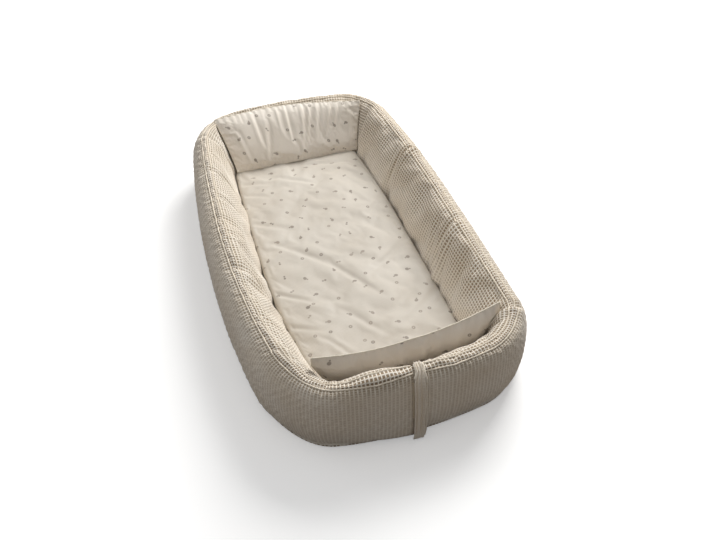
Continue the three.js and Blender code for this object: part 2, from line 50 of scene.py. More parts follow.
def linearColour(hexText):  # an sRGB hex value as the linear colour that nodes take
    parts = [int(hexText[i:i + 2], 16) / 255 for i in (0, 2, 4)]
    return [c / 12.92 if c <= 0.04045 else ((c + 0.055) / 1.055) ** 2.4 for c in parts] + [1]


def addNode(tree, kind, inputs=None, **settings):
    node = tree.nodes.new(kind)
    for key, value in settings.items():
        setattr(node, key, value)
    for key, value in (inputs or {}).items():
        if isinstance(value, bpy.types.NodeSocket):
            tree.links.new(value, node.inputs[key])
        else:
            node.inputs[key].default_value = value
    return node


def smooth(low, high, x):
    share = np.clip((x - low) / (high - low), 0, 1)
    return share * share * (3 - 2 * share)


def softNoise(u, v, cellU, cellV, seed):  # smooth values from -1 to 1, the same on each run
    lattice = np.random.default_rng(seed).uniform(-1, 1, (97, 97))
    x, y = u / cellU, v / cellV
    i, j = np.floor(x).astype(int), np.floor(y).astype(int)
    fx, fy = x - i, y - j
    fx, fy = fx * fx * (3 - 2 * fx), fy * fy * (3 - 2 * fy)
    near = lattice[i % 97, j % 97] * (1 - fx) + lattice[(i + 1) % 97, j % 97] * fx
    far = lattice[i % 97, (j + 1) % 97] * (1 - fx) + lattice[(i + 1) % 97, (j + 1) % 97] * fx
    return near * (1 - fy) + far * fy


def splineAt(control, t):  # a smooth curve through the rows of control
    i = np.clip(np.floor(t).astype(int), 0, len(control) - 2)
    f = (t - i).reshape((-1,) + (1,) * (control.ndim - 1))
    ends = [2 * control[:1] - control[1:2], control, 2 * control[-1:] - control[-2:-1]]
    padded = np.concatenate(ends)
    a, b, c, d = padded[i], padded[i + 1], padded[i + 2], padded[i + 3]
    return 0.5 * (2 * b + (c - a) * f + (2 * a - 5 * b + 4 * c - d) * f**2
                  + (3 * b - a - 3 * c + d) * f**3)


def refine(grid, rows, columns):  # the same smooth surface with another count of points
    grid = splineAt(grid, np.linspace(0, len(grid) - 1, rows))
    turned = np.swapaxes(grid, 0, 1)
    return np.swapaxes(splineAt(turned, np.linspace(0, len(turned) - 1, columns)), 0, 1)


def lengthsAlong(points, axis=0):  # how far along a line each of its points lies
    steps = np.linalg.norm(np.diff(points, axis=axis), axis=-1)
    zero = np.zeros_like(np.take(steps, [0], axis=axis))
    return np.concatenate([zero, np.cumsum(steps, axis=axis)], axis=axis)


def gridNormals(grid):
    along = np.gradient(grid, axis=0)
    across = np.gradient(grid, axis=1)
    normal = np.cross(along, across)
    return normal / np.maximum(np.linalg.norm(normal, axis=-1, keepdims=True), 1e-12)


def gridFaces(rows, columns, shift=0, turned=False):
    a = (np.arange(rows - 1)[:, None] * columns + np.arange(columns - 1)[None, :]).ravel() + shift
    corners = [a, a + columns, a + columns + 1, a + 1]
    return np.stack(corners[::-1] if turned else corners, axis=1).tolist()


def meshPiece(name, points, faces, uv=None, look=None):
    mesh = bpy.data.meshes.new(name)
    mesh.from_pydata([tuple(p) for p in points], [], faces)
    if uv is not None:
        layer = mesh.uv_layers.new(name="cloth")
        loops = np.empty(len(mesh.loops), dtype=np.int32)
        mesh.loops.foreach_get("vertex_index", loops)
        layer.data.foreach_set("uv", np.asarray(uv, dtype=np.float32)[loops].ravel())
    mesh.polygons.foreach_set("use_smooth", [True] * len(mesh.polygons))
    mesh.update()
    if look is not None:
        mesh.materials.append(look)
    piece = bpy.data.objects.new(name, mesh)
    bpy.context.scene.collection.objects.link(piece)
    return piece


def finishShape(piece):  # turns the piece's modifiers into plain mesh
    graph = bpy.context.evaluated_depsgraph_get()
    graph.update()
    shaped = bpy.data.meshes.new_from_object(piece.evaluated_get(graph))
    old = piece.data
    piece.modifiers.clear()
    piece.data = shaped
    shaped.name = piece.name
    bpy.data.meshes.remove(old)
    return piece


def thicken(piece, thickness):  # gives an open cloth its thickness, inwards from its face
    solid = piece.modifiers.new("thickness", "SOLIDIFY")
    solid.thickness = thickness
    solid.offset = -1
    solid.use_even_offset = False
    return finishShape(piece)


def clothGrid(name, grid, uv, thickness, look, turned=False):
    rows, columns = grid.shape[:2]
    faces = gridFaces(rows, columns, turned=turned)
    piece = meshPiece(name, grid.reshape(-1, 3), faces, uv.reshape(-1, 2), look)
    return thicken(piece, thickness)


def solidLoft(name, rings, look):  # rings of points, closed by a face at each end
    rings = np.asarray(rings)
    rows, count = rings.shape[:2]
    faces = []
    for r in range(rows - 1):
        for c in range(count):
            a, b = r * count + c, r * count + (c + 1) % count
            faces.append((a, b, b + count, a + count))
    faces.append(tuple(range(count))[::-1])
    faces.append(tuple(range((rows - 1) * count, rows * count)))
    piece = meshPiece(name, rings.reshape(-1, 3), faces, None, look)
    return closeUp(piece)


def closeUp(piece):  # outward faces, and ends as triangles
    work = bmesh.new()
    work.from_mesh(piece.data)
    bmesh.ops.triangulate(work, faces=[f for f in work.faces if len(f.verts) > 4])
    bmesh.ops.recalc_face_normals(work, faces=work.faces)
    if work.calc_volume(signed=True) < 0:
        bmesh.ops.reverse_faces(work, faces=work.faces)
    work.to_mesh(piece.data)
    work.free()
    return piece


def relaxCloth(name, points, faces, pins, cloth):  # swells and wrinkles a sewn cloth
    if not cloth["frames"]:
        return points
    piece = meshPiece(name, points, faces)
    group = piece.vertex_groups.new(name="sewn")
    for level in np.unique(np.round(pins, 2)):
        members = np.nonzero(np.round(pins, 2) == level)[0]
        group.add([int(i) for i in members], float(level), "REPLACE")
    sim = piece.modifiers.new("cloth", "CLOTH")
    how = sim.settings
    how.quality = cloth.get("quality", 5)
    how.vertex_group_mass = "sewn"
    how.pin_stiffness = cloth["hold"]
    how.use_pressure = True
    how.uniform_pressure_force = cloth["pressure"]
    how.shrink_min = -cloth["spare"]
    how.tension_stiffness = how.compression_stiffness = cloth["stretch"]
    how.shear_stiffness = cloth["stretch"] / 3
    how.bending_stiffness = cloth["bend"]
    how.tension_damping = how.compression_damping = how.shear_damping = 5
    how.mass = 0.2
    how.air_damping = 3
    how.effector_weights.gravity = 0
    sim.collision_settings.use_collision = False
    sim.point_cache.frame_start = 1
    sim.point_cache.frame_end = cloth["frames"]
    scene = bpy.context.scene
    for frameNumber in range(1, cloth["frames"] + 1):
        scene.frame_set(frameNumber)
    relaxed = piece.evaluated_get(bpy.context.evaluated_depsgraph_get()).to_mesh()
    moved = np.empty(len(points) * 3)
    relaxed.vertices.foreach_get("co", moved)
    moved = moved.reshape(-1, 3) - points
    piece.evaluated_get(bpy.context.evaluated_depsgraph_get()).to_mesh_clear()
    bpy.data.objects.remove(piece)
    scene.frame_set(1)
    if not np.isfinite(moved).all():
        print(name, "could not be relaxed")
        return points
    far = np.linalg.norm(moved, axis=1, keepdims=True)
    print(name, "moved", round(float(far.mean()) * 1000, 1), round(float(far.max()) * 1000, 1), "mm")
    return points + moved * cloth["cap"] * np.tanh(far / cloth["cap"]) / np.maximum(far, 1e-9)


def ringOf(grid):  # the border points of a grid, in order
    return np.concatenate([grid[0, :-1], grid[:-1, -1], grid[-1, :0:-1], grid[:0:-1, 0]])


def ringIndexes(rows, columns):
    index = np.arange(rows * columns).reshape(rows, columns)
    return np.concatenate([index[0, :-1], index[:-1, -1], index[-1, :0:-1], index[:0:-1, 0]])


def rimFaces(rows, columns, turned=False):  # joins the borders of two grids that follow each other
    count = rows * columns
    ring = ringIndexes(rows, columns).tolist()
    pairs = list(zip(ring, ring[1:] + ring[:1]))
    if turned:
        return [(a, b, b + count, a + count) for a, b in pairs]
    return [(a, a + count, b + count, b) for a, b in pairs]


cameraFacts = dict(
    place=(-0.27102, -1.08237, 1.03965),
    target=(0.01451, -0.11295, 0.08),
    roll=-1.549,  # degrees
    focal=728.39,  # pixels, of a picture 716 wide
)


def makeCamera():
    lens = bpy.data.cameras.new("camera")
    lens.sensor_fit = "HORIZONTAL"
    lens.sensor_width = 36
    lens.lens = cameraFacts["focal"] * 36 / 716
    lens.clip_start, lens.clip_end = 0.05, 30
    camera = bpy.data.objects.new("camera", lens)
    place, target = Vector(cameraFacts["place"]), Vector(cameraFacts["target"])
    back = (place - target).normalized()
    right = Vector((0, 0, 1)).cross(back).normalized()
    up = back.cross(right)
    roll = math.radians(cameraFacts["roll"])
    right, up = right * math.cos(roll) + up * math.sin(roll), up * math.cos(roll) - right * math.sin(roll)
    turn = Matrix((right, up, back)).transposed().to_4x4()
    camera.matrix_world = Matrix.Translation(place) @ turn
    bpy.context.scene.collection.objects.link(camera)
    bpy.context.scene.camera = camera


makeCamera()

waffleFacts = dict(
    cell=0.0061,  # metres from rib to rib
    ridge="f7efe2", aged="eee3d2",
    pitHalf=0.24, edge=0.14,  # shares of a cell: half a pit, and the slope from pit to rib
    # how open the pits are: fully up to a distance from the seam, and the share left from a second one
    inside=(0.045, 0.10, 0.45), outside=(0.008, 0.032, 0.42), flat=(0, 0.001, 0.25),
    tautRibs=0.6,  # height of the ribs that run along the taut wall, as a share of the upright ones
)


def makeWaffle(name, depth, pitShade, alongRibs=0.86, fading=(0, 1, 1)):
    # cotton waffle weave: raised ribs round square pits, so it shows rows of small dark dots; the pits'
    # darker colour is painted shade
    look = bpy.data.materials.new(name)
    look.use_nodes = True
    tree = look.node_tree
    tree.nodes.clear()
    uv = addNode(tree, "ShaderNodeUVMap", uv_map="cloth").outputs["UV"]
    drift = addNode(tree, "ShaderNodeTexNoise", {"Vector": uv, "Scale": 60, "Detail": 2})
    driftSmall = addNode(tree, "ShaderNodeVectorMath", {
        0: drift.outputs["Color"], 1: (0.0005, 0.0005, 0)}, operation="MULTIPLY")
    moved = addNode(tree, "ShaderNodeVectorMath", {0: uv, 1: driftSmall.outputs[0]}, operation="ADD")
    size = 1 / waffleFacts["cell"]
    cells = addNode(tree, "ShaderNodeVectorMath", {
        0: moved.outputs[0], 1: (size, size, 0)}, operation="MULTIPLY")
    within = addNode(tree, "ShaderNodeVectorMath", {0: cells.outputs[0]}, operation="FRACTION")
    centred = addNode(tree, "ShaderNodeVectorMath", {
        0: within.outputs[0], 1: (0.5, 0.5, 0)}, operation="SUBTRACT")
    away = addNode(tree, "ShaderNodeVectorMath", {0: centred.outputs[0]}, operation="ABSOLUTE")
    parts = addNode(tree, "ShaderNodeSeparateXYZ", {0: away.outputs[0]})
    pitHalf = waffleFacts["pitHalf"]
    ribs = []
    for axis, strength in (("X", 1.0), ("Y", alongRibs)):
        ribs.append(addNode(tree, "ShaderNodeMapRange", {
            "Value": parts.outputs[axis], "From Min": pitHalf, "From Max": pitHalf + waffleFacts["edge"],
            "To Min": 0, "To Max": strength}, interpolation_type="SMOOTHSTEP").outputs[0])
    rib = addNode(tree, "ShaderNodeMath", {0: ribs[0], 1: ribs[1]}, operation="MAXIMUM").outputs[0]
    near, far, least = fading  # pits are open at the seam, and drawn shallow away from it, where their painted shade grows lighter too
    across = addNode(tree, "ShaderNodeSeparateXYZ", {0: uv}).outputs["Y"]
    away = addNode(tree, "ShaderNodeMath", {0: across}, operation="ABSOLUTE")
    openness = addNode(tree, "ShaderNodeMapRange", {
        "Value": away.outputs[0], "From Min": near, "From Max": far, "To Min": 1, "To Max": least})
    hollow = addNode(tree, "ShaderNodeMath", {0: 1, 1: rib}, operation="SUBTRACT")
    shallow = addNode(tree, "ShaderNodeMath", {
        0: hollow.outputs[0], 1: openness.outputs[0]}, operation="MULTIPLY")
    rib = addNode(tree, "ShaderNodeMath", {0: 1, 1: shallow.outputs[0]}, operation="SUBTRACT").outputs[0]
    fuzz = addNode(tree, "ShaderNodeTexNoise", {"Vector": uv, "Scale": 1500, "Detail": 2})
    height = addNode(tree, "ShaderNodeMath", {
        0: fuzz.outputs["Fac"], 1: 0.16, 2: rib}, operation="MULTIPLY_ADD")
    patches = addNode(tree, "ShaderNodeTexNoise", {"Vector": uv, "Scale": 14, "Detail": 4})
    spread = addNode(tree, "ShaderNodeMapRange", {
        "Value": patches.outputs["Fac"], "From Min": 0.35, "From Max": 0.7})
    ridgeColour = addNode(tree, "ShaderNodeMix", {
        "Factor": spread.outputs[0], 6: linearColour(waffleFacts["ridge"]),
        7: linearColour(waffleFacts["aged"])}, data_type="RGBA")
    # painted shade: the pits take the darker pit colour, in place of the shade that falls between the ribs
    colour = addNode(tree, "ShaderNodeMix", {
        "Factor": rib, 6: linearColour(pitShade), 7: ridgeColour.outputs[2]},
        data_type="RGBA")
    bump = addNode(tree, "ShaderNodeBump", {
        "Strength": 0.9, "Distance": depth, "Height": height.outputs[0]})
    rough = addNode(tree, "ShaderNodeMapRange", {"Value": rib, "To Min": 0.98, "To Max": 0.86})
    skin = addNode(tree, "ShaderNodeBsdfPrincipled", {
        "Base Color": colour.outputs[2], "Roughness": rough.outputs[0], "Normal": bump.outputs[0],
        "Specular IOR Level": 0.2, "Sheen Weight": 0.25, "Sheen Roughness": 0.5})
    addNode(tree, "ShaderNodeOutputMaterial", {"Surface": skin.outputs[0]})
    return look


cottonFacts = dict(
    motif="756a60", soft="978b7f",
    motifEvery=0.040,  # metres between motifs
    thread=0.0011,  # real threads of 0.3 mm are too fine to show, so they are drawn coarser
)


def makeCotton(name, base, shade, printed=True):
    # cotton sateen, smooth and closely woven: soft highlights, with a sparse small print
    look = bpy.data.materials.new(name)
    look.use_nodes = True
    tree = look.node_tree
    tree.nodes.clear()
    uv = addNode(tree, "ShaderNodeUVMap", uv_map="cloth").outputs["UV"]
    cloudy = addNode(tree, "ShaderNodeTexNoise", {"Vector": uv, "Scale": 9, "Detail": 4})
    spread = addNode(tree, "ShaderNodeMapRange", {
        "Value": cloudy.outputs["Fac"], "From Min": 0.35, "From Max": 0.7})
    colour = addNode(tree, "ShaderNodeMix", {
        "Factor": spread.outputs[0], 6: linearColour(base), 7: linearColour(shade)},
        data_type="RGBA").outputs[2]
    if printed:
        size = 1 / cottonFacts["motifEvery"]
        scaled = addNode(tree, "ShaderNodeVectorMath", {
            0: uv, 1: (size, size, 0)}, operation="MULTIPLY").outputs[0]
        spots = addNode(tree, "ShaderNodeTexVoronoi", {
            "Vector": scaled, "Scale": 1, "Randomness": 0.82}, voronoi_dimensions="2D")
        local = addNode(tree, "ShaderNodeVectorMath", {
            0: scaled, 1: spots.outputs["Position"]}, operation="SUBTRACT").outputs[0]
        chance = addNode(tree, "ShaderNodeSeparateColor", {0: spots.outputs["Color"]})
        angle = addNode(tree, "ShaderNodeMath", {
            0: chance.outputs[0], 1: math.tau}, operation="MULTIPLY")
        turned = addNode(tree, "ShaderNodeVectorRotate", {
            "Vector": local, "Angle": angle.outputs[0]}, rotation_type="Z_AXIS").outputs[0]
        masks = []
        # a leaf, a dot beside it and a ring, each kept in its own share of the places
        shapes = (
            (0.0, 0.42, (0.0, 0.0, 0), (0.112, 0.090, 1), 0.0),
            (0.0, 0.42, (0.125, 0.060, 0), (0.046, 0.046, 1), 0.0),
            (0.42, 0.74, (0.0, 0.0, 0), (0.100, 0.100, 1), 0.25),
            (0.74, 1.0, (-0.062, 0.0, 0), (0.056, 0.056, 1), 0.0),
            (0.74, 1.0, (0.060, 0.02, 0), (0.066, 0.066, 1), 0.0),
        )
        for low, high, middle, size, hole in shapes:
            offset = addNode(tree, "ShaderNodeVectorMath", {0: turned, 1: middle}, operation="SUBTRACT")
            squeezed = addNode(tree, "ShaderNodeVectorMath", {
                0: offset.outputs[0], 1: size}, operation="DIVIDE")
            reach = addNode(tree, "ShaderNodeVectorMath", {0: squeezed.outputs[0]}, operation="LENGTH")
            inside = addNode(tree, "ShaderNodeMapRange", {
                "Value": reach.outputs["Value"], "From Min": 1.0, "From Max": 0.8}).outputs[0]
            if hole:
                opened = addNode(tree, "ShaderNodeMapRange", {
                    "Value": reach.outputs["Value"], "From Min": hole - 0.1, "From Max": hole + 0.1})
                inside = addNode(tree, "ShaderNodeMath", {
                    0: inside, 1: opened.outputs[0]}, operation="MULTIPLY").outputs[0]
            above = addNode(tree, "ShaderNodeMath", {
                0: chance.outputs[1], 1: low}, operation="GREATER_THAN")
            below = addNode(tree, "ShaderNodeMath", {
                0: chance.outputs[1], 1: high}, operation="LESS_THAN")
            both = addNode(tree, "ShaderNodeMath", {
                0: above.outputs[0], 1: below.outputs[0]}, operation="MULTIPLY")
            masks.append(addNode(tree, "ShaderNodeMath", {
                0: inside, 1: both.outputs[0]}, operation="MULTIPLY").outputs[0])
        ink = masks[0]
        for mask in masks[1:]:
            ink = addNode(tree, "ShaderNodeMath", {0: ink, 1: mask}, operation="MAXIMUM").outputs[0]
        tone = addNode(tree, "ShaderNodeMix", {
            "Factor": chance.outputs[2], 6: linearColour(cottonFacts["motif"]),
            7: linearColour(cottonFacts["soft"])}, data_type="RGBA").outputs[2]
        faded = addNode(tree, "ShaderNodeMath", {0: ink, 1: 0.75}, operation="MULTIPLY").outputs[0]
        colour = addNode(tree, "ShaderNodeMix", {
            "Factor": faded, 6: colour, 7: tone}, data_type="RGBA").outputs[2]
    weave = []
    for axis in ("X", "Y"):
        weave.append(addNode(tree, "ShaderNodeTexWave", {
            "Vector": uv, "Scale": 1 / cottonFacts["thread"] / 20 * math.pi, "Distortion": 1.5,
            "Detail": 1}, bands_direction=axis).outputs["Fac"])
    crossed = addNode(tree, "ShaderNodeMath", {0: weave[0], 1: weave[1]}, operation="ADD")
    creases = addNode(tree, "ShaderNodeTexNoise", {
        "Vector": uv, "Scale": 40, "Detail": 5, "Roughness": 0.55, "Distortion": 0.6})
    height = addNode(tree, "ShaderNodeMath", {
        0: creases.outputs["Fac"], 1: 9.0, 2: crossed.outputs[0]}, operation="MULTIPLY_ADD")
    bump = addNode(tree, "ShaderNodeBump", {
        "Strength": 0.35, "Distance": 0.00018, "Height": height.outputs[0]})
    rough = addNode(tree, "ShaderNodeMapRange", {
        "Value": cloudy.outputs["Fac"], "To Min": 0.5, "To Max": 0.68})
    skin = addNode(tree, "ShaderNodeBsdfPrincipled", {
        "Base Color": colour, "Roughness": rough.outputs[0], "Normal": bump.outputs[0],
        "Specular IOR Level": 0.4, "Sheen Weight": 0.15, "Sheen Roughness": 0.4})
    addNode(tree, "ShaderNodeOutputMaterial", {"Surface": skin.outputs[0]})
    return look


def makePlain(name, first, second, scale, bumpDistance, roughness, sheen, stripes=0.0):
    # one maker for the plain cloths and fibres: two mottled colours, a fine relief and a sheen
    look = bpy.data.materials.new(name)
    look.use_nodes = True
    tree = look.node_tree
    tree.nodes.clear()
    place = addNode(tree, "ShaderNodeTexCoord").outputs["Object"]
    mottled = addNode(tree, "ShaderNodeTexNoise", {"Vector": place, "Scale": scale, "Detail": 5})
    spread = addNode(tree, "ShaderNodeMapRange", {
        "Value": mottled.outputs["Fac"], "From Min": 0.35, "From Max": 0.68})
    colour = addNode(tree, "ShaderNodeMix", {
        "Factor": spread.outputs[0], 6: linearColour(first), 7: linearColour(second)},
        data_type="RGBA")
    height = mottled.outputs["Fac"]
    if stripes:
        ribs = addNode(tree, "ShaderNodeTexWave", {
            "Vector": place, "Scale": stripes, "Distortion": 0.6}, bands_direction="DIAGONAL")
        height = addNode(tree, "ShaderNodeMath", {
            0: mottled.outputs["Fac"], 1: ribs.outputs["Fac"]}, operation="ADD").outputs[0]
    bump = addNode(tree, "ShaderNodeBump", {
        "Strength": 0.6, "Distance": bumpDistance, "Height": height})
    rough = addNode(tree, "ShaderNodeMapRange", {
        "Value": mottled.outputs["Fac"], "To Min": roughness - 0.08, "To Max": roughness + 0.04})
    skin = addNode(tree, "ShaderNodeBsdfPrincipled", {
        "Base Color": colour.outputs[2], "Roughness": rough.outputs[0], "Normal": bump.outputs[0],
        "Specular IOR Level": 0.25, "Sheen Weight": sheen})
    addNode(tree, "ShaderNodeOutputMaterial", {"Surface": skin.outputs[0]})
    return look


# each look's pit colour is painted shade in the hollows of the weave
waffleLook = makeWaffle("cotton waffle weave", 0.0011, "9c876e")
# the same cloth down the inside, where the filling pulls its pits shallow towards the floor
innerWaffleLook = makeWaffle("waffle weave over the filling", 0.0011, "a38f76", fading=waffleFacts["inside"])
# drawn taut round the outside, so that mostly its upright ribs are left to see
tautWaffleLook = makeWaffle("taut waffle weave", 0.0009, "b3a18a", waffleFacts["tautRibs"],
                            waffleFacts["outside"])
# pulled flat over the flap, where its pits close up
flatWaffleLook = makeWaffle("flattened waffle weave", 0.0012, "b3a18a", waffleFacts["tautRibs"],
                            waffleFacts["flat"])
printLook = makeCotton("printed cotton sateen", "eae2d7", "dfd6c9")
# the same print on the mattress, in a copy a little darker: painted shade on its upward face
shadedCoverPrintLook = makeCotton("printed mattress sateen", "c9c2b7", "c0b8ac")
plainLook = makeCotton("plain cotton lining", "dcd4c8", "d2c9bb", printed=False)
# folded waffle cloth seen along its edge: finer and lighter than the open weave
pipingLook = makePlain("folded cotton piping", "efe5d5", "ddd0bc", 420, 0.0005, 0.92, 0.25, 30)
# the flap's rolled edge, the lightest line on the foot
bindingLook = makePlain("rolled cotton edge", "f3ebdd", "e4d8c5", 420, 0.0005, 0.9, 0.3, 30)
# mercerised sewing thread: a small soft shine
threadLook = makePlain("cotton sewing thread", "e2d6c1", "cbbca2", 900, 0.0002, 0.7, 0.2, 60)
# carded polyester fibre: white, matt and tangled
fibreLook = makePlain("polyester fibre filling", "f5f3ee", "e9e6de", 260, 0.0014, 0.95, 0.4)
# woven nylon: flat and slightly shiny, with a crosswise rib
tapeLook = makePlain("woven nylon tape", "d9cdb8", "c9bba2", 500, 0.0003, 0.6, 0.1, 50)
print("materials made")

nest = dict(
    length=0.900, width=0.514, height=0.154, wallFrom=0.0067,
    bows=(0.044, 0.028, 0.028, 0.036),  # foot left, head left, head right, foot right
    draws=(0.054, 0.036, 0.034, 0.008),
    innerDraws=(0.038, 0.008, 0.016, 0.0),
    radii=(0.126, 0.104, 0.106, 0.112),
    innerRadiusShare=0.26,
    sideWall=0.100, headWall=0.092, footWall=0.050,
    joinX=0.006, joinDraw=0.008, joinReach=0.5,
)
outerBox = dict(side=nest["width"] / 2, head=nest["length"] / 2, foot=nest["length"] / 2,
                draws=nest["draws"], bows=nest["bows"], radii=nest["radii"])
innerBox = dict(side=outerBox["side"] - nest["sideWall"], head=outerBox["head"] - nest["headWall"],
                foot=outerBox["foot"] - nest["footWall"], draws=nest["innerDraws"], bows=nest["bows"],
                radii=tuple(r * nest["innerRadiusShare"] for r in nest["radii"]))


def insetBox(box, inset, footInset=None):
    radii = tuple(max(r - inset, r * 0.5) for r in box["radii"])
    foot = box["foot"] - (inset if footInset is None else footInset)
    return dict(box, side=box["side"] - inset, head=box["head"] - inset, foot=foot, radii=radii)


def bowed(box, x, y):  # the sides and ends bow out between corners that are drawn in
    x, y = np.asarray(x, float), np.asarray(y, float)
    corner = np.where(x < 0, np.where(y > 0, 1, 0), np.where(y > 0, 2, 3))
    across = x / box["side"]
    along = y / np.where(y > 0, box["head"], box["foot"])
    draw, bow = np.array(box["draws"])[corner], np.array(box["bows"])[corner]
    return np.stack([x - draw * along**2 * across**3, y - bow * across**2 * along**3], axis=-1)


def rimPoints(box, places):  # places 0 to 9 run from the join at the foot past left side and head
    places = np.asarray(places, float)
    side, head, foot = box["side"], box["head"], box["foot"]
    fl, hl, hr, fr = box["radii"]
    corners = [(-side + fl, -foot + fl, fl, -90), (-side + hl, head - hl, hl, -180),
               (side - hr, head - hr, hr, 90), (side - fr, -foot + fr, fr, 0)]

    def onCorner(which, part):
        x, y, radius, start = corners[which]
        angle = math.radians(start) - part * math.pi / 2
        return np.stack([x + radius * np.cos(angle), y + radius * np.sin(angle)], axis=-1)

    join = np.array([nest["joinX"], -foot])
    stretch = np.clip(np.floor(places).astype(int), 0, 8)
    share = places - stretch
    result = np.empty(places.shape + (2,))
    for s in range(9):
        here = stretch == s
        if not here.any():
            continue
        if s % 2:
            result[here] = onCorner((s - 1) // 2, share[here])
        else:
            start = join if s == 0 else onCorner(s // 2 - 1, 1.0)
            end = join if s == 8 else onCorner(s // 2, 0.0)
            result[here] = start + (end - start) * share[here][:, None]
    return bowed(box, result[..., 0], result[..., 1])


def evenPlaces(count, first=0.0, last=9.0, box=outerBox):  # places at even distances on the rim
    fine = np.linspace(first, last, 1801)
    run = lengthsAlong(rimPoints(box, fine))
    return np.interp(np.linspace(0, run[-1], count), run, fine)


def startTree(name, sockets):
    tree = bpy.data.node_groups.new(name, "GeometryNodeTree")
    tree.interface.new_socket("Geometry", in_out="INPUT", socket_type="NodeSocketGeometry")
    for label, kind, value in sockets:
        socket = tree.interface.new_socket(label, in_out="INPUT", socket_type=kind)
        if value is not None:
            socket.default_value = value
    tree.interface.new_socket("Geometry", in_out="OUTPUT", socket_type="NodeSocketGeometry")
    return tree, addNode(tree, "NodeGroupInput").outputs


def makePipingTree():  # a soft round cord of folded cloth along a path
    tree, given = startTree("piping", [
        ("Radius", "NodeSocketFloat", 0.002), ("Step", "NodeSocketFloat", 0.004),
        ("Unevenness", "NodeSocketFloat", 0.0004), ("Look", "NodeSocketMaterial", None)])
    path = addNode(tree, "GeometryNodeMeshToCurve", {0: given["Geometry"]})
    even = addNode(tree, "GeometryNodeResampleCurve", {
        "Curve": path.outputs[0], "Length": given["Step"]}, mode="LENGTH")
    place = addNode(tree, "GeometryNodeInputPosition")
    wavy = addNode(tree, "ShaderNodeTexNoise", {"Vector": place.outputs[0], "Scale": 70, "Detail": 1})
    centred = addNode(tree, "ShaderNodeVectorMath", {
        0: wavy.outputs["Color"], 1: (0.5, 0.5, 0.5)}, operation="SUBTRACT")
    small = addNode(tree, "ShaderNodeVectorMath", {
        0: centred.outputs[0], "Scale": given["Unevenness"]}, operation="SCALE")
    bent = addNode(tree, "GeometryNodeSetPosition", {
        "Geometry": even.outputs[0], "Offset": small.outputs[0]})
    ring = addNode(tree, "GeometryNodeCurvePrimitiveCircle", {
        "Resolution": 8, "Radius": given["Radius"]})
    tube = addNode(tree, "GeometryNodeCurveToMesh", {
        "Curve": bent.outputs[0], "Profile Curve": ring.outputs[0], "Fill Caps": True})
    real = addNode(tree, "GeometryNodeRealizeInstances", {0: tube.outputs[0]})
    dressed = addNode(tree, "GeometryNodeSetMaterial", {
        "Geometry": real.outputs[0], "Material": given["Look"]})
    addNode(tree, "NodeGroupOutput", {"Geometry": dressed.outputs[0]})
    return tree


def makeStitchTree():  # a row of short sunk stitches along a path
    tree, given = startTree("stitches", [
        ("Pitch", "NodeSocketFloat", 0.004), ("Length", "NodeSocketFloat", 0.0028),
        ("Thread", "NodeSocketFloat", 0.0004), ("Seed", "NodeSocketInt", 4),
        ("Look", "NodeSocketMaterial", None)])
    path = addNode(tree, "GeometryNodeMeshToCurve", {0: given["Geometry"]})
    spots = addNode(tree, "GeometryNodeCurveToPoints", {
        "Curve": path.outputs[0], "Length": given["Pitch"]}, mode="LENGTH")
    turn = addNode(tree, "FunctionNodeAlignRotationToVector", {
        "Vector": spots.outputs["Tangent"]}, axis="X")
    ball = addNode(tree, "GeometryNodeMeshUVSphere", {"Segments": 6, "Rings": 4, "Radius": 1.0})
    half = addNode(tree, "ShaderNodeMath", {0: given["Length"], 1: 0.5}, operation="MULTIPLY")
    vary = addNode(tree, "FunctionNodeRandomValue", {"Seed": given["Seed"]}, data_type="FLOAT")
    vary.inputs[2].default_value, vary.inputs[3].default_value = 0.85, 1.1
    long = addNode(tree, "ShaderNodeMath", {0: half.outputs[0], 1: vary.outputs[1]}, operation="MULTIPLY")
    size = addNode(tree, "ShaderNodeCombineXYZ", {
        "X": long.outputs[0], "Y": given["Thread"], "Z": given["Thread"]})
    placed = addNode(tree, "GeometryNodeInstanceOnPoints", {
        "Points": spots.outputs["Points"], "Instance": ball.outputs[0],
        "Rotation": turn.outputs[0], "Scale": size.outputs[0]})
    real = addNode(tree, "GeometryNodeRealizeInstances", {0: placed.outputs[0]})
    dressed = addNode(tree, "GeometryNodeSetMaterial", {
        "Geometry": real.outputs[0], "Material": given["Look"]})
    addNode(tree, "NodeGroupOutput", {"Geometry": dressed.outputs[0]})
    return tree


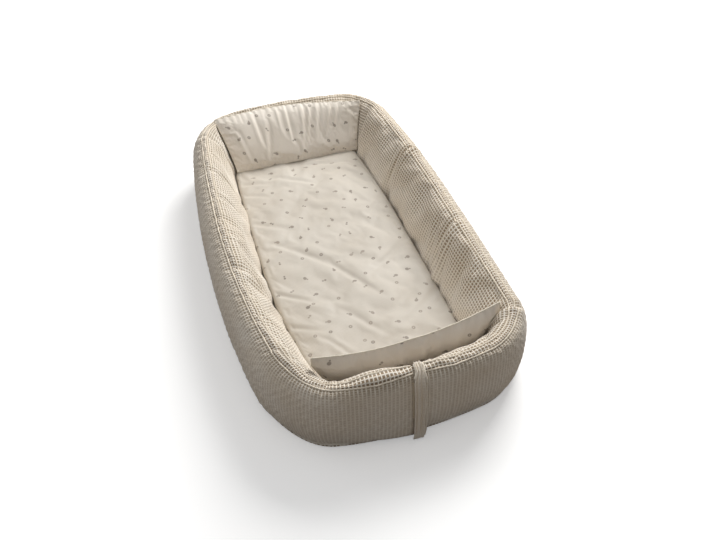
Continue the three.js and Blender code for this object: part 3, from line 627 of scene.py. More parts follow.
def makeHookTree():  # small bent hooks or loops of a fastening tape, one on each point
    tree, given = startTree("hooks", [
        ("Size", "NodeSocketFloat", 0.0007), ("Thread", "NodeSocketFloat", 0.00016),
        ("Seed", "NodeSocketInt", 7), ("Facing", "NodeSocketVector", (0.0, -1.0, 0.0)),
        ("Look", "NodeSocketMaterial", None)])
    points = addNode(tree, "GeometryNodeMeshToPoints", {0: given["Geometry"]})
    arc = addNode(tree, "GeometryNodeCurveArc", {
        "Resolution": 6, "Radius": given["Size"], "Sweep Angle": math.radians(230)})
    upright = addNode(tree, "GeometryNodeTransform", {
        "Geometry": arc.outputs[0], "Rotation": (math.pi / 2, 0, 0)})
    ring = addNode(tree, "GeometryNodeCurvePrimitiveCircle", {
        "Resolution": 3, "Radius": given["Thread"]})
    hook = addNode(tree, "GeometryNodeCurveToMesh", {
        "Curve": upright.outputs[0], "Profile Curve": ring.outputs[0], "Fill Caps": True})
    turn = addNode(tree, "FunctionNodeAlignRotationToVector", {"Vector": given["Facing"]}, axis="Z")
    spin = addNode(tree, "FunctionNodeRandomValue", {"Seed": given["Seed"]}, data_type="FLOAT")
    spin.inputs[2].default_value, spin.inputs[3].default_value = 0.0, math.tau
    own = addNode(tree, "ShaderNodeCombineXYZ", {"Z": spin.outputs[1]})
    ownTurn = addNode(tree, "FunctionNodeEulerToRotation", {0: own.outputs[0]})
    both = addNode(tree, "FunctionNodeRotateRotation", {
        "Rotation": turn.outputs[0], "Rotate By": ownTurn.outputs[0]}, rotation_space="LOCAL")
    placed = addNode(tree, "GeometryNodeInstanceOnPoints", {
        "Points": points.outputs[0], "Instance": hook.outputs[0], "Rotation": both.outputs[0]})
    real = addNode(tree, "GeometryNodeRealizeInstances", {0: placed.outputs[0]})
    dressed = addNode(tree, "GeometryNodeSetMaterial", {
        "Geometry": real.outputs[0], "Material": given["Look"]})
    addNode(tree, "NodeGroupOutput", {"Geometry": dressed.outputs[0]})
    return tree


pipingTree, stitchTree, hookTree = makePipingTree(), makeStitchTree(), makeHookTree()


def growOn(name, tree, paths, values):  # paths is a list of lines of points
    points, edges = [], []
    for path in paths:
        start = len(points)
        points.extend(tuple(p) for p in path)
        edges.extend((start + i, start + i + 1) for i in range(len(path) - 1))
    mesh = bpy.data.meshes.new(name)
    mesh.from_pydata(points, edges, [])
    piece = bpy.data.objects.new(name, mesh)
    bpy.context.scene.collection.objects.link(piece)
    grown = piece.modifiers.new("grown", "NODES")
    grown.node_group = tree
    for item in tree.interface.items_tree:
        if item.in_out == "INPUT" and item.name in values:
            grown[item.identifier] = values[item.name]
    finishShape(piece)
    work = bmesh.new()
    work.from_mesh(piece.data)
    bmesh.ops.recalc_face_normals(work, faces=work.faces)
    work.to_mesh(piece.data)
    work.free()
    piece.data.polygons.foreach_set("use_smooth", [True] * len(piece.data.polygons))
    return piece


headPad = dict(
    name="headPad", node="head_pad", shift=0.001, footHalf=0.143, topHalf=0.156, footY=0.309,
    topY=0.359, bow=0.020, skew=-0.010, footZ=0.0568, topZ=0.149, front=0.011, rear=0.013,
    acrossPower=7, upPower=5, facing=-1, rows=34, columns=84, seed=81, cap=0.006, pressure=1.2,
    spare=0.012, wider=(0.014, 0.012), further=(0.019, 0.019, 0.009), higher=0.005, wideFrom=1.0,
    crumpleAt=0.0, crumpleTo=0.96,  # x that it would crumple towards, and the share of its width left if folded
)
footPad = dict(
    name="footPad", node="foot_pad", shift=0.020, footHalf=0.125, topHalf=0.151, footY=-0.358,
    topY=-0.346, bow=-0.029, skew=0.008, footZ=0.0558, topZ=0.149, front=0.005, rear=0.016,
    acrossPower=12, upPower=2.8, facing=1, rows=34, columns=84, seed=91, cap=0.004, pressure=0.8,
    spare=0.004, wider=(0.008, 0.020), further=(-0.008, 0.001, -0.006), higher=0.012, wideFrom=0.85,
    crumpleAt=-0.10, crumpleTo=0.84,
)

# gathers of a pad's cloth: where across, from and to which height, lean, depth, half width
headGathers = (
    (-0.55, 0.30, 1.0, 0.05, 0.0020, 0.030), (-0.36, 0.15, 0.80, -0.16, 0.0016, 0.034),
    (-0.17, 0.45, 1.0, 0.02, 0.0020, 0.022), (-0.06, 0.35, 1.0, 0.02, 0.0024, 0.026),
    (0.20, 0.20, 1.0, -0.12, 0.0034, 0.028), (0.31, 0.15, 0.95, -0.20, 0.0034, 0.024),
    (0.42, 0.30, 1.0, -0.16, 0.0028, 0.026), (0.60, 0.35, 1.0, -0.24, 0.0032, 0.024),
    (0.70, 0.50, 1.0, -0.20, 0.0024, 0.022), (-0.84, 0.10, 0.7, 0.10, 0.0018, 0.030),
    (0.05, 0.0, 0.40, 0.06, 0.0014, 0.030), (0.88, 0.1, 0.8, -0.02, 0.0016, 0.024),
)
footGathers = (
    (-0.62, 0.3, 1.0, 0.03, 0.0016, 0.040), (-0.12, 0.3, 1.0, 0.02, 0.0018, 0.040),
    (0.15, 0.2, 1.0, -0.02, 0.0021, 0.034), (0.33, 0.3, 1.0, 0.03, 0.0018, 0.036),
    (0.55, 0.2, 1.0, -0.03, 0.0021, 0.040), (0.78, 0.3, 1.0, 0.02, 0.0018, 0.034),
)


def padPoints(pad, across, up, side, offset):
    foot = np.stack([pad["shift"] + across * pad["footHalf"],
                     np.full_like(across, pad["footY"]), np.full_like(across, pad["footZ"])], axis=-1)
    top = np.stack([pad["shift"] + across * pad["topHalf"],
                    pad["topY"] + pad["bow"] * (1 - across**2) + pad["skew"] * across,
                    np.full_like(across, pad["topZ"])], axis=-1)
    depth = pad["front"] if side > 0 else pad["rear"]
    swell = (1 - np.abs(across) ** pad["acrossPower"]) * (1 - np.abs(2 * up - 1) ** pad["upPower"])
    lean = np.array([0, pad["topY"] + pad["bow"] / 2 - pad["footY"], pad["topZ"] - pad["footZ"]])
    normal = np.array([0, lean[2] * pad["facing"], -lean[1] * pad["facing"]])
    normal /= np.linalg.norm(normal)
    base = foot + (top - foot) * up[..., None]
    widening = np.clip(up / pad["wideFrom"], 0, 1)
    base[..., 0] = foot[..., 0] + (top - foot)[..., 0] * widening
    left, right = pad["wider"]
    base[..., 0] += widening**2 * np.abs(across) ** 3 * np.where(across < 0, -left, right)
    base[..., 1] += up**1.5 * np.interp(across, [-1, 0, 1], pad["further"])
    base[..., 2] += up**3 * pad["higher"]
    return base + normal * (side * (depth * swell + offset))[..., None], normal


def spacing(count):  # points crowd towards the sewn edges
    s = np.linspace(-1, 1, count)
    return np.sign(s) * (1 - (1 - np.abs(s)) ** 1.35)


def gatherRelief(gathers, across, up, seed):
    relief = 0.0007 * softNoise(across + 3, up + 3, 0.12, 0.6, seed)
    for middle, low, high, lean, depth, half in gathers:
        window = smooth(low - 0.08, low + 0.25, up) * (1 - smooth(high - 0.02, high + 0.06, up))
        offset = across - middle - lean * (1 - up) ** 1.3
        ridge = np.exp(-(offset / half) ** 2) - 0.75 * np.exp(-((offset - 1.8 * half) / half) ** 2)
        relief += 0.8 * depth * ridge * window
    return relief


padShapes = []  # what presses into the wall


def crumple(piece):  # gives the piece its own copy of its mesh
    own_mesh(piece)


def pressedBy(points, inwards, clear=0.0012, most=0.03, passes=3):  # moves cloth out of the pads' way
    step = 0.0015
    moved = np.zeros(points.shape[:-1])
    near = (np.abs(points[..., 1]) > 0.27) & (points[..., 2] > 0.045)
    for index in zip(*np.nonzero(near)):
        for tree in padShapes:
            while moved[index] < most:
                place = Vector(points[index] + inwards[index] * moved[index])
                spot, normal, _, far = tree.find_nearest(place, 0.04)
                if spot is None or ((place - spot).dot(normal) > 0 and far > clear):
                    break
                moved[index] += step
    for _ in range(passes):  # the cloth bends round the edges of the dent
        spread = moved.copy()
        spread[1:-1, 1:-1] = (moved[:-2, 1:-1] + moved[2:, 1:-1] + moved[1:-1, :-2] + moved[1:-1, 2:]) / 4
        moved = np.maximum(moved, spread)
    return points + inwards * moved[..., None]


def makePad(pad, gathers):
    ups = (spacing(pad["rows"]) + 1) / 2
    acrosses = spacing(pad["columns"])
    up, across = np.meshgrid(ups, acrosses, indexing="ij")
    front, normal = padPoints(pad, across, up, 1, 0 * up + 0.0009)
    back, _ = padPoints(pad, across, up, -1, 0 * up + 0.0009)
    edgeFade = (1 - np.abs(across) ** 8) * (1 - np.abs(2 * up - 1) ** 10)
    pucker = 0.0007 * np.sin(math.tau * (across * pad["topHalf"] / 0.0125
                                         + 0.4 * softNoise(across + 2, up, 0.2, 1, pad["seed"])))
    pucker = pucker * np.exp(-(1 - up) / 0.07) + 0.2 * pucker * np.exp(-up / 0.10)
    relief = gatherRelief(gathers, across, up, pad["seed"] + 1)
    if pad["name"] == "headPad":
        front = front + normal * (relief * edgeFade + pucker)[..., None]
        back = back - normal * (0.4 * relief * edgeFade + pucker)[..., None]
    else:
        front = front + normal * (0.5 * relief * edgeFade + pucker)[..., None]
        back = back - normal * (relief * edgeFade + pucker)[..., None]
    rows, columns = pad["rows"], pad["columns"]
    count = rows * columns
    points = np.concatenate([front.reshape(-1, 3), back.reshape(-1, 3)])
    ordered = pad["facing"] > 0
    faces = gridFaces(rows, columns, turned=ordered) + gridFaces(rows, columns, count, not ordered)
    faces += rimFaces(rows, columns)
    onEdge = np.zeros((rows, columns))
    onEdge[[0, -1], :] = 1
    onEdge[:, [0, -1]] = 1
    pins = np.where(onEdge > 0, 1.0, 0.08).ravel()
    cloth = dict(frames=14, hold=0.5, pressure=pad["pressure"], spare=pad["spare"], stretch=16,
                 bend=0.3, cap=pad["cap"])
    mesh = meshPiece("padStart", points, faces)
    closeUp(mesh)
    closed = [tuple(p.vertices) for p in mesh.data.polygons]
    bpy.data.objects.remove(mesh)
    relaxed = relaxCloth(pad["name"] + " cloth", points, closed, np.concatenate([pins, pins]), cloth)
    padShapes.append(BVHTree.FromPolygons([Vector(p) for p in relaxed], closed))
    frontGrid = refine(relaxed[:count].reshape(rows, columns, 3), rows * 3, columns * 3)
    backGrid = refine(relaxed[count:].reshape(rows, columns, 3), rows * 3, columns * 3)
    for name, grid, side, look in (("Front", frontGrid, 1, printLook), ("Back", backGrid, -1, printLook)):
        gridTurned = (np.cross(grid[1, 99] - grid[0, 99], grid[0, 100] - grid[0, 99]) @ normal) * side < 0
        uv = np.stack([lengthsAlong(grid, axis=1) + 0.9 + 0.3 * side,
                       lengthsAlong(grid, axis=0) + 1.3 - 0.2 * side], axis=-1)
        piece = clothGrid(pad["name"] + name, grid, uv, 0.0008, look, gridTurned)
        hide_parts(pad["node"] + "_" + name.lower())
        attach(piece, pad["node"])
        crumple(piece)
    seamLine = (ringOf(frontGrid) + ringOf(backGrid)) / 2
    seamLine = np.concatenate([seamLine, seamLine[:1]])[::2]
    edge = growOn(pad["name"] + "Edge", pipingTree, [seamLine], dict(
        Radius=0.0013, Step=0.0035, Unevenness=0.0009, Look=printEdgeLook))
    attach(edge, pad["node"])
    crumple(edge)

    fillUps = np.linspace(0.05, 0.95, 16)
    fillAcross = np.linspace(-0.95, 0.95, 50)
    up, across = np.meshgrid(fillUps, fillAcross, indexing="ij")
    lumps = 0.0006 * softNoise(across + 2, up + 2, 0.12, 0.3, pad["seed"] + 2)
    thin = np.minimum(1, 6 * np.minimum(up, 1 - up))
    frontFill, _ = padPoints(pad, across, up, 1, lumps - 0.0016 - 0.002 * thin)
    backFill, _ = padPoints(pad, across, up, -1, lumps - 0.0016 - 0.002 * thin)
    count = up.size
    fillFaces = gridFaces(16, 50) + gridFaces(16, 50, count, True)
    fillFaces += rimFaces(16, 50, turned=True)
    fillPoints = np.concatenate([frontFill.reshape(-1, 3), backFill.reshape(-1, 3)])
    fill = meshPiece(pad["name"] + "Fill", fillPoints, fillFaces, None, fibreLook)
    closeUp(fill)
    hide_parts(pad["node"] + "_fill")
    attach(fill, pad["node"])
    crumple(fill)


# the sewn edge of the printed cotton, lighter where it is folded
printEdgeLook = makePlain("folded sateen edge", "ebe3d4", "d5cab7", 500, 0.0004, 0.75, 0.2, 40)
makePad(headPad, headGathers)
makePad(footPad, footGathers)
print("pads made")

sideShape = np.array([
    [0.08, 0], [0.02, 0.1], [0, 0.36], [0.04, 0.68], [0.16, 0.88], [0.33, 0.985], [0.47, 1],
    [0.6, 0.92], [0.77, 0.73], [0.91, 0.49], [1, 0.28], [1, 0]])
footShape = np.array([
    [0.06, 0], [0.01, 0.1], [0, 0.36], [0.01, 0.7], [0.06, 0.9], [0.2, 0.985], [0.42, 1],
    [0.66, 0.93], [0.84, 0.76], [0.95, 0.5], [1, 0.28], [1, 0]])
outerSeam, innerSeam, lastPoint = 5, 6, 11

wall = dict(
    tucks=(2.34, 2.8, 6.29, 6.65),  # places where the wall is drawn in
    padRoom=0.0024,  # left between the wall and a pad, for the cord round the pad's edge
    tuckDepth=0.009, tuckDrop=0.003, tuckReach=0.034,
    lapped=(0.2, 0.1), tuckedUnder=(0.2, 0.12),
    simStations=300, simProfile=56,
    puckerLength=0.013, puckerDepth=0.0004, puckerReach=0.010,
    puffDepth=0.0034, hemDepth=0.0016,
    cloth=0.0016, pitDepth=0.0013,
)
weaveStep = waffleFacts["cell"] / 2  # the mesh has a point on each rib and one in each pit


def footShareOf(places):
    return np.clip(2 - np.minimum(places, 9 - places), 0, 1)


def joinShareOf(x):
    left, right = rimPoints(outerBox, [1.0])[0, 0], rimPoints(outerBox, [8.0])[0, 0]
    reach = np.where(x < nest["joinX"], left - nest["joinX"], right - nest["joinX"])
    return np.clip(1 - (x - nest["joinX"]) / (reach * nest["joinReach"]), 0, None)


stretchLengths = [float(lengthsAlong(rimPoints(outerBox, [s, s + 0.999]))[-1]) for s in range(9)]


def tuckPull(places):
    pull = np.zeros_like(places)
    for tuck in wall["tucks"]:
        away = np.abs(places - tuck) * stretchLengths[int(tuck)] / wall["tuckReach"]
        pull = np.maximum(pull, np.clip(1 - away, 0, 1) ** 1.5)
    return pull


def sectionsAt(places):  # the planes in which the wall's outline is drawn
    places = np.asarray(places, float)
    outer, inner = rimPoints(outerBox, places), rimPoints(innerBox, places)
    foot = footShareOf(places)
    return dict(outer=outer, inner=inner, foot=foot, tuck=tuckPull(places),
                join=np.where(foot == 1, np.clip(joinShareOf(outer[:, 0]), 0, 1), 0),
                lapped=np.where(places > 6, foot, 0),
                tucked=np.where(places > 6, 0, np.minimum(places, foot)))


def footSectionsAt(x, lapped=0.0):
    x = np.asarray(x, float)
    outer = bowed(outerBox, x, np.full_like(x, -outerBox["foot"]))
    inner = bowed(innerBox, x, np.full_like(x, -innerBox["foot"]))
    ones = np.ones_like(x)
    return dict(outer=outer, inner=inner, foot=ones, tuck=0 * ones,
                join=np.clip(joinShareOf(x), 0, 1), lapped=lapped * ones, tucked=0 * ones)


def wallProfile(sections, t, lift=0.0):  # points (sections, t, 3) on the cloth, lifted off it
    foot = sections["foot"][:, None, None]
    shape = sideShape[None] * (1 - foot) + footShape[None] * foot
    shares, rises = shape[..., 0].copy(), shape[..., 1].copy()
    for i in range(2):
        shares[:, i] += wall["lapped"][i] * sections["lapped"] + wall["tuckedUnder"][i] * sections["tucked"]
    thick = np.linalg.norm(sections["inner"] - sections["outer"], axis=1)
    depth = shares * thick[:, None]
    index = np.arange(len(sideShape))
    drawn = np.where((index > innerSeam) & (rises > 0), np.sin(np.pi * rises), 0)
    depth -= sections["tuck"][:, None] * wall["tuckDepth"] * drawn
    depth += nest["joinDraw"] * sections["join"][:, None] * np.where(index > innerSeam, 0, rises**2)
    height = nest["wallFrom"] + rises * (nest["height"] - nest["wallFrom"])
    seams = (index == outerSeam) | (index == innerSeam)
    height -= sections["tuck"][:, None] * wall["tuckDrop"] * seams
    flat = np.stack([depth, height], axis=-1)  # (n, 12, 2)
    curve = splineAt(np.swapaxes(flat, 0, 1), np.asarray(t, float))  # (t, n, 2)
    curve = np.swapaxes(curve, 0, 1)
    if lift:
        along = np.gradient(curve, axis=1)
        along /= np.maximum(np.linalg.norm(along, axis=-1, keepdims=True), 1e-9)
        curve = curve + lift * np.stack([-along[..., 1], along[..., 0]], axis=-1)
    across = (sections["inner"] - sections["outer"]) / thick[:, None]
    ground = sections["outer"][:, None, :] + across[:, None, :] * curve[..., :1]
    return np.concatenate([ground, curve[..., 1:2]], axis=-1)


def profileSteps(count):  # places on the outline at even lengths, with the seams kept
    fine = np.linspace(0, lastPoint, 1101)
    line = wallProfile(sectionsAt([2.6]), fine)[0]
    run = lengthsAlong(line)
    seams = [0, outerSeam, innerSeam, lastPoint]
    marks = [float(np.interp(s, fine, run)) for s in seams]
    parts = [max(3, round(count * (b - a) / run[-1])) for a, b in zip(marks, marks[1:])]
    steps = [np.linspace(a, b, n + 1)[:-1] for a, b, n in zip(marks, marks[1:], parts)]
    steps = np.concatenate(steps + [[marks[-1]]])
    t = np.interp(steps, run, fine)
    at = np.cumsum([0] + parts)
    t[at[1]], t[at[2]] = outerSeam, innerSeam
    return t, at


joinGap = 0.00225  # from the join to where the wall's cloth begins, past its end cloths
firstPlace = joinGap / stretchLengths[0]
lastPlace = 9 - joinGap / stretchLengths[8]

# creases sewn or pressed into the wall: place, from t, to t, depth, half width, lean, proud side
creases = (
    (6.29, 4.6, 9.6, 0.0060, 0.0050, -0.010, 0.0055),
    (6.65, 5.6, 10.6, 0.0060, 0.0060, 0.016, 0.0040),
    (6.60, 7.4, 10.4, 0.0030, 0.0060, 0.030, 0.0000),
    (6.70, 7.2, 10.2, 0.0028, 0.0070, 0.020, 0.0000),
    (6.78, 6.6, 9.8, 0.0020, 0.0090, 0.020, 0.0000),
    (2.80, 5.2, 9.0, 0.0021, 0.0050, 0.002, 0.0012),
    (2.66, 6.0, 8.8, 0.0017, 0.0060, 0.006, 0.0000),
    (2.55, 6.0, 8.6, 0.0015, 0.0060, -0.004, 0.0000),
    (2.34, 5.6, 9.8, 0.0022, 0.0060, 0.004, 0.0012),
    (1.75, 6.4, 10.2, 0.0020, 0.0080, 0.009, 0.0000),
    (1.60, 6.6, 10.4, 0.0022, 0.0080, 0.010, 0.0000),
    (1.42, 6.2, 10.2, 0.0020, 0.0080, 0.006, 0.0000),
    (7.20, 4.4, 9.4, 0.0050, 0.0050, -0.008, 0.0035),
    (7.48, 6.4, 9.2, 0.0034, 0.0060, 0.006, 0.0000),
    (3.10, 4.6, 8.4, 0.0017, 0.0050, 0.002, 0.0012),
    (3.60, 6.0, 9.0, 0.0015, 0.0070, 0.004, 0.0000),
    (5.40, 6.0, 9.0, 0.0030, 0.0070, 0.010, 0.0000),
    (5.85, 6.2, 9.4, 0.0024, 0.0080, 0.010, 0.0000),
)


# broad swells and hollows of the wall: place, t, height, reach along and across
swells = (
    (1.00, 7.2, -0.007, 0.036, 2.2), (1.35, 7.2, -0.006, 0.040, 2.4),
    (0.42, 6.3, 0.013, 0.055, 1.5), (8.75, 6.4, 0.003, 0.050, 1.6),
    (3.70, 7.6, -0.006, 0.050, 2.4),
)


def wallRelief(places, t, along, seamAway):  # how far the cloth stands out or in, in metres
    run, tt = np.meshgrid(along, t, indexing="ij")
    inside = 0.12 + 0.88 * smooth(4.2, 6.4, tt)
    relief = inside * wall["puffDepth"] * softNoise(run, tt, 0.085, 2.3, 11)
    relief += 0.45 * inside * wall["puffDepth"] * softNoise(run, tt, 0.034, 1.1, 12)
    relief -= 0.0016 * np.exp(-seamAway / 0.004)
    relief += 0.0010 * np.exp(-((tt - 5.5) / 0.3) ** 2)
    for place, middleT, high, reach, reachT in swells:
        middle = np.interp(place, places, along)
        relief += high * np.exp(-((run - middle) / reach) ** 2 - ((tt - middleT) / reachT) ** 2)
    wander = 0.5 * softNoise(run, tt, 0.05, 1.6, 13)
    strength = 0.55 + 0.45 * softNoise(run, 0 * tt, 0.045, 1, 14)
    pucker = np.sin(math.tau * (run / wall["puckerLength"] + wander))
    relief += wall["puckerDepth"] * strength * pucker * np.exp(-seamAway / wall["puckerReach"])
    hem = np.exp(-tt / 0.8) + np.exp(-(lastPoint - tt) / 0.8)
    relief += wall["hemDepth"] * hem * softNoise(run, 0 * tt, 0.022, 1, 15)
    for place, fromT, toT, depth, half, lean, proud in creases:
        middle = np.interp(place, places, along)
        window = smooth(fromT - 0.35, fromT + 0.35, tt) * (1 - smooth(toT - 1.2, toT + 0.2, tt))
        offset = run - middle - lean * (tt - fromT) / (toT - fromT)
        groove = -depth * np.exp(-np.abs(offset) / half)
        groove += 0.45 * depth * np.exp(-((np.abs(offset) - 2.6 * half) / (1.3 * half)) ** 2)
        side = 1 if place > 4.5 else -1
        swell = proud * np.exp(-((side * offset - 0.016) / 0.014) ** 2)
        relief += (groove + swell) * window
    return relief


def makeWallSurface():
    places = evenPlaces(wall["simStations"], firstPlace, lastPlace)
    t, marks = profileSteps(wall["simProfile"])
    grid = wallProfile(sectionsAt(places), t)
    seamLine = grid[:, marks[1]]
    along = lengthsAlong(seamLine)
    profileRun = lengthsAlong(grid, axis=1)
    seamAway = np.minimum(np.abs(profileRun - profileRun[:, marks[1]:marks[1] + 1]),
                          np.abs(profileRun - profileRun[:, marks[2]:marks[2] + 1]))
    normal = gridNormals(grid)
    outward = np.sign((normal[:, 8] * (grid[:, 8] - grid[:, -8])).sum())
    normal *= outward
    low = wallRelief(places, t, along, seamAway)
    shaped = grid + normal * low[..., None]
    rows, columns = shaped.shape[:2]
    pins = np.full((rows, columns), 0.12)
    pins[:, :marks[1]] = 0.75
    pins[:, [0, -1]] = 1
    pins[[0, -1], :] = 1
    pins[:, marks[1]] = pins[:, marks[2]] = 0.9
    faces = gridFaces(rows, columns, turned=outward < 0)
    cloth = dict(frames=16, hold=0.6, pressure=0.6, spare=0.016, stretch=18, bend=0.8, cap=0.005)
    relaxed = relaxCloth("wall cloth", shaped.reshape(-1, 3), faces, pins.ravel(), cloth)
    relaxed = relaxed.reshape(rows, columns, 3)
    relaxed = pressedBy(relaxed, -gridNormals(relaxed) * outward)
    stationCount = 2 * int(along[-1] / waffleFacts["cell"]) + 1
    bands = []
    for first, last in zip(marks, marks[1:]):
        part = relaxed[:, first:last + 1]
        width = float(np.median(profileRun[:, last] - profileRun[:, first]))
        count = 2 * max(3, round(width / waffleFacts["cell"])) + 1
        band = refine(part, stationCount, count)
        if first == marks[2]:  # the coarse cloth missed the pads' thin ends
            pressed = pressedBy(band, -gridNormals(band) * outward, wall["padRoom"], most=0.010, passes=8)
            band = np.where(band[..., 1:2] > 0, pressed, band)  # the foot's corners turn too sharply for it
        bands.append(band)
    for before, after in zip(bands, bands[1:]):
        after[:, 0] = before[:, -1]
    return dict(bands=bands, outward=outward)


def weaveUv(band, seamColumn):  # metres along and across the weave, counted from the seam
    along, across = np.meshgrid(*(np.arange(count) for count in band.shape[:2]), indexing="ij")
    return np.stack([along, across - across[:, seamColumn][:, None]], axis=-1) * weaveStep


def pressPits(band, uv, fading, alongRibs):  # real hollows between the ribs
    near, far, least = fading
    hollow = np.zeros(band.shape[:2])
    hollow[1::2, 1::2] = 1
    hollow[1::2, 2:-1:2] = 1 - alongRibs
    openness = np.interp(np.abs(uv[..., 1]), [near, far], [1, least])
    inwards = -gridNormals(band) * surface["outward"]
    return band + inwards * (wall["pitDepth"] * hollow * openness)[..., None]


surface = makeWallSurface()


def makeWallPanels():
    names = ("wallOuterPanel", "wallTopBand", "wallInnerPanel")
    nodes = ("outer_panel", "top_band", "inner_panel")
    restsOn = (["fill_left", "fill_right"], ["fill_head"], ["fill_left", "fill_right"])
    weaves = (  # look, column at the seam, how the pits fade, height of the ribs along the wall
        (tautWaffleLook, -1, waffleFacts["outside"], waffleFacts["tautRibs"]),
        (waffleLook, 0, (0, 1, 1), 0.86), (innerWaffleLook, 0, waffleFacts["inside"], 0.86))
    turned = surface["outward"] < 0
    for name, node, rest, band, weave in zip(names, nodes, restsOn, surface["bands"], weaves):
        look, seamColumn, fading, alongRibs = weave
        uv = weaveUv(band, seamColumn)
        woven = pressPits(band, uv, fading, alongRibs)
        piece = clothGrid(name, woven, uv, wall["cloth"], look, turned)
        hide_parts(node)
        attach(piece, "nest")


makeWallPanels()
print("wall panels made")

seams = dict(radius=0.0016, lift=0.0002, stitchAway=0.0042, stitchPitch=0.0042)


def makeSeams():
    outerBand, topBand, innerBand = surface["bands"]
    normals = [gridNormals(band) * surface["outward"] for band in surface["bands"]]
    lines = (("outerPiping", topBand[:, 0], normals[1][:, 0], "outer_seam_cord"),
             ("innerPiping", topBand[:, -1], normals[1][:, -1], "inner_seam_cord"))
    for name, line, normal, node in lines:
        path = line[::2] + normal[::2] * seams["lift"]
        piece = growOn(name, pipingTree, [path], dict(
            Radius=seams["radius"], Step=0.0045, Unevenness=0.0004, Look=pipingLook))
        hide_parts(node)
        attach(piece, "nest")
    rows = []
    step = seams["stitchAway"] / weaveStep
    for band, normal, column in ((outerBand, normals[0], -1 - round(step)),
                                 (innerBand, normals[2], round(step))):
        rows.append(band[::3, column] + normal[::3, column] * 0.0001)
    stitches = growOn("wallStitching", stitchTree, rows, dict(
        Pitch=seams["stitchPitch"], Length=0.0026, Thread=0.00035, Look=threadLook))
    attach(stitches, "nest")


makeSeams()
print("seams made")

filling = dict(inset=0.0085, stations=46, ring=44, lumps=0.0012,
               endGap=0.012, padRoom=0.006)  # places left free at each end, metres round the pads


def ringAt(sections, lift, count):
    t = np.linspace(0, lastPoint, count)
    return wallProfile(sections, t, lift)


def makeFillings():
    cuts = [1.5, 3.5, 5.5, 7.5]  # places round the wall where one filling ends
    gap = filling["endGap"]
    spans = [("fillFootLeft", "fill_foot_left", firstPlace + gap, cuts[0]),
             ("fillLeft", "fill_left", cuts[0], cuts[1]), ("fillHead", "fill_head", cuts[1], cuts[2]),
             ("fillRight", "fill_right", cuts[2], cuts[3]),
             ("fillFootRight", "fill_foot_right", cuts[3], lastPlace - gap)]
    for seed, (name, node, first, last) in enumerate(spans):
        places = evenPlaces(filling["stations"], first + gap, last - gap)
        rings = ringAt(sectionsAt(places), -filling["inset"], filling["ring"])
        middle = rings.mean(axis=1, keepdims=True)
        run = np.repeat(lengthsAlong(rings[:, 0])[:, None], filling["ring"], axis=1)
        turn = np.repeat(np.arange(filling["ring"])[None, :] / 4.0, len(rings), axis=0)
        lumps = softNoise(run, turn, 0.05, 1.0, 40 + seed) * filling["lumps"]
        away = rings - middle
        away /= np.maximum(np.linalg.norm(away, axis=-1, keepdims=True), 1e-9)
        rings = rings - away * (filling["lumps"] + lumps)[..., None]
        rings = pressedBy(rings, -away, clear=filling["padRoom"])
        rings[..., 2] = np.maximum(rings[..., 2], nest["wallFrom"])
        piece = solidLoft(name, rings, fibreLook)
        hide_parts(node)
        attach(piece, "nest")


endCloth = dict(near=0.00015, far=0.00195)  # metres from the join, each cloth 1.8 mm thick


def makeEndCloths():
    join, near, far = nest["joinX"], endCloth["near"], endCloth["far"]
    for name, node, x0, x1, lapped in (
            ("endClothLeft", "end_panel_left", join - far, join - near, 0.0),
            ("endClothRight", "end_panel_right", join + near, join + far, 1.0)):
        rings = ringAt(footSectionsAt([x0, x1], lapped), 0.0, 60)
        piece = solidLoft(name, rings, waffleLook)
        uv = piece.data.uv_layers.new(name="cloth")
        for loop in piece.data.loops:
            p = piece.data.vertices[loop.vertex_index].co
            uv.data[loop.index].uv = (p.y, p.z)
        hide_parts(node)
        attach(piece, "nest")


bottom = dict(
    inset=0.007, footInset=0.012, quiltEvery=0.085, quiltDepth=0.0012, quiltHalf=0.006,
    coverTop=0.0018, waddingInset=0.003, waddingLow=0.0021, waddingTop=0.0051, liningLow=0.0054,
)


def coonsGrid(box, rows, columns):  # a four-sided grid over a round-cornered plan
    def edge(first, last, count):
        fine = np.linspace(first, last, 401)
        line = rimPoints(box, np.mod(fine, 9.0))
        run = lengthsAlong(line)
        even = np.linspace(0, run[-1], count)
        return np.stack([np.interp(even, run, line[:, i]) for i in range(2)], axis=-1)

    foot = edge(1.5, -1.5, columns)
    head = edge(3.5, 5.5, columns)
    left = edge(1.5, 3.5, rows)
    right = edge(7.5, 5.5, rows)
    a = np.linspace(0, 1, columns)[None, :, None]
    b = np.linspace(0, 1, rows)[:, None, None]
    sides = left[:, None] * (1 - a) + right[:, None] * a
    ends = foot[None] * (1 - b) + head[None] * b
    corners = (foot[0] * (1 - a) + foot[-1] * a) * (1 - b) + (head[0] * (1 - a) + head[-1] * a) * b
    return sides + ends - corners


def plateFrom(name, plan, low, high, look):  # a closed thin body between two height fields
    rows, columns = plan.shape[:2]
    top = np.concatenate([plan, np.broadcast_to(high, plan.shape[:2])[..., None]], axis=-1)
    under = np.concatenate([plan, np.broadcast_to(low, plan.shape[:2])[..., None]], axis=-1)
    count = rows * columns
    faces = gridFaces(rows, columns, turned=True) + gridFaces(rows, columns, shift=count)
    faces += rimFaces(rows, columns)
    points = np.concatenate([top.reshape(-1, 3), under.reshape(-1, 3)])
    uv = np.concatenate([plan.reshape(-1, 2)] * 2)
    piece = meshPiece(name, points, faces, uv, look)
    return closeUp(piece)


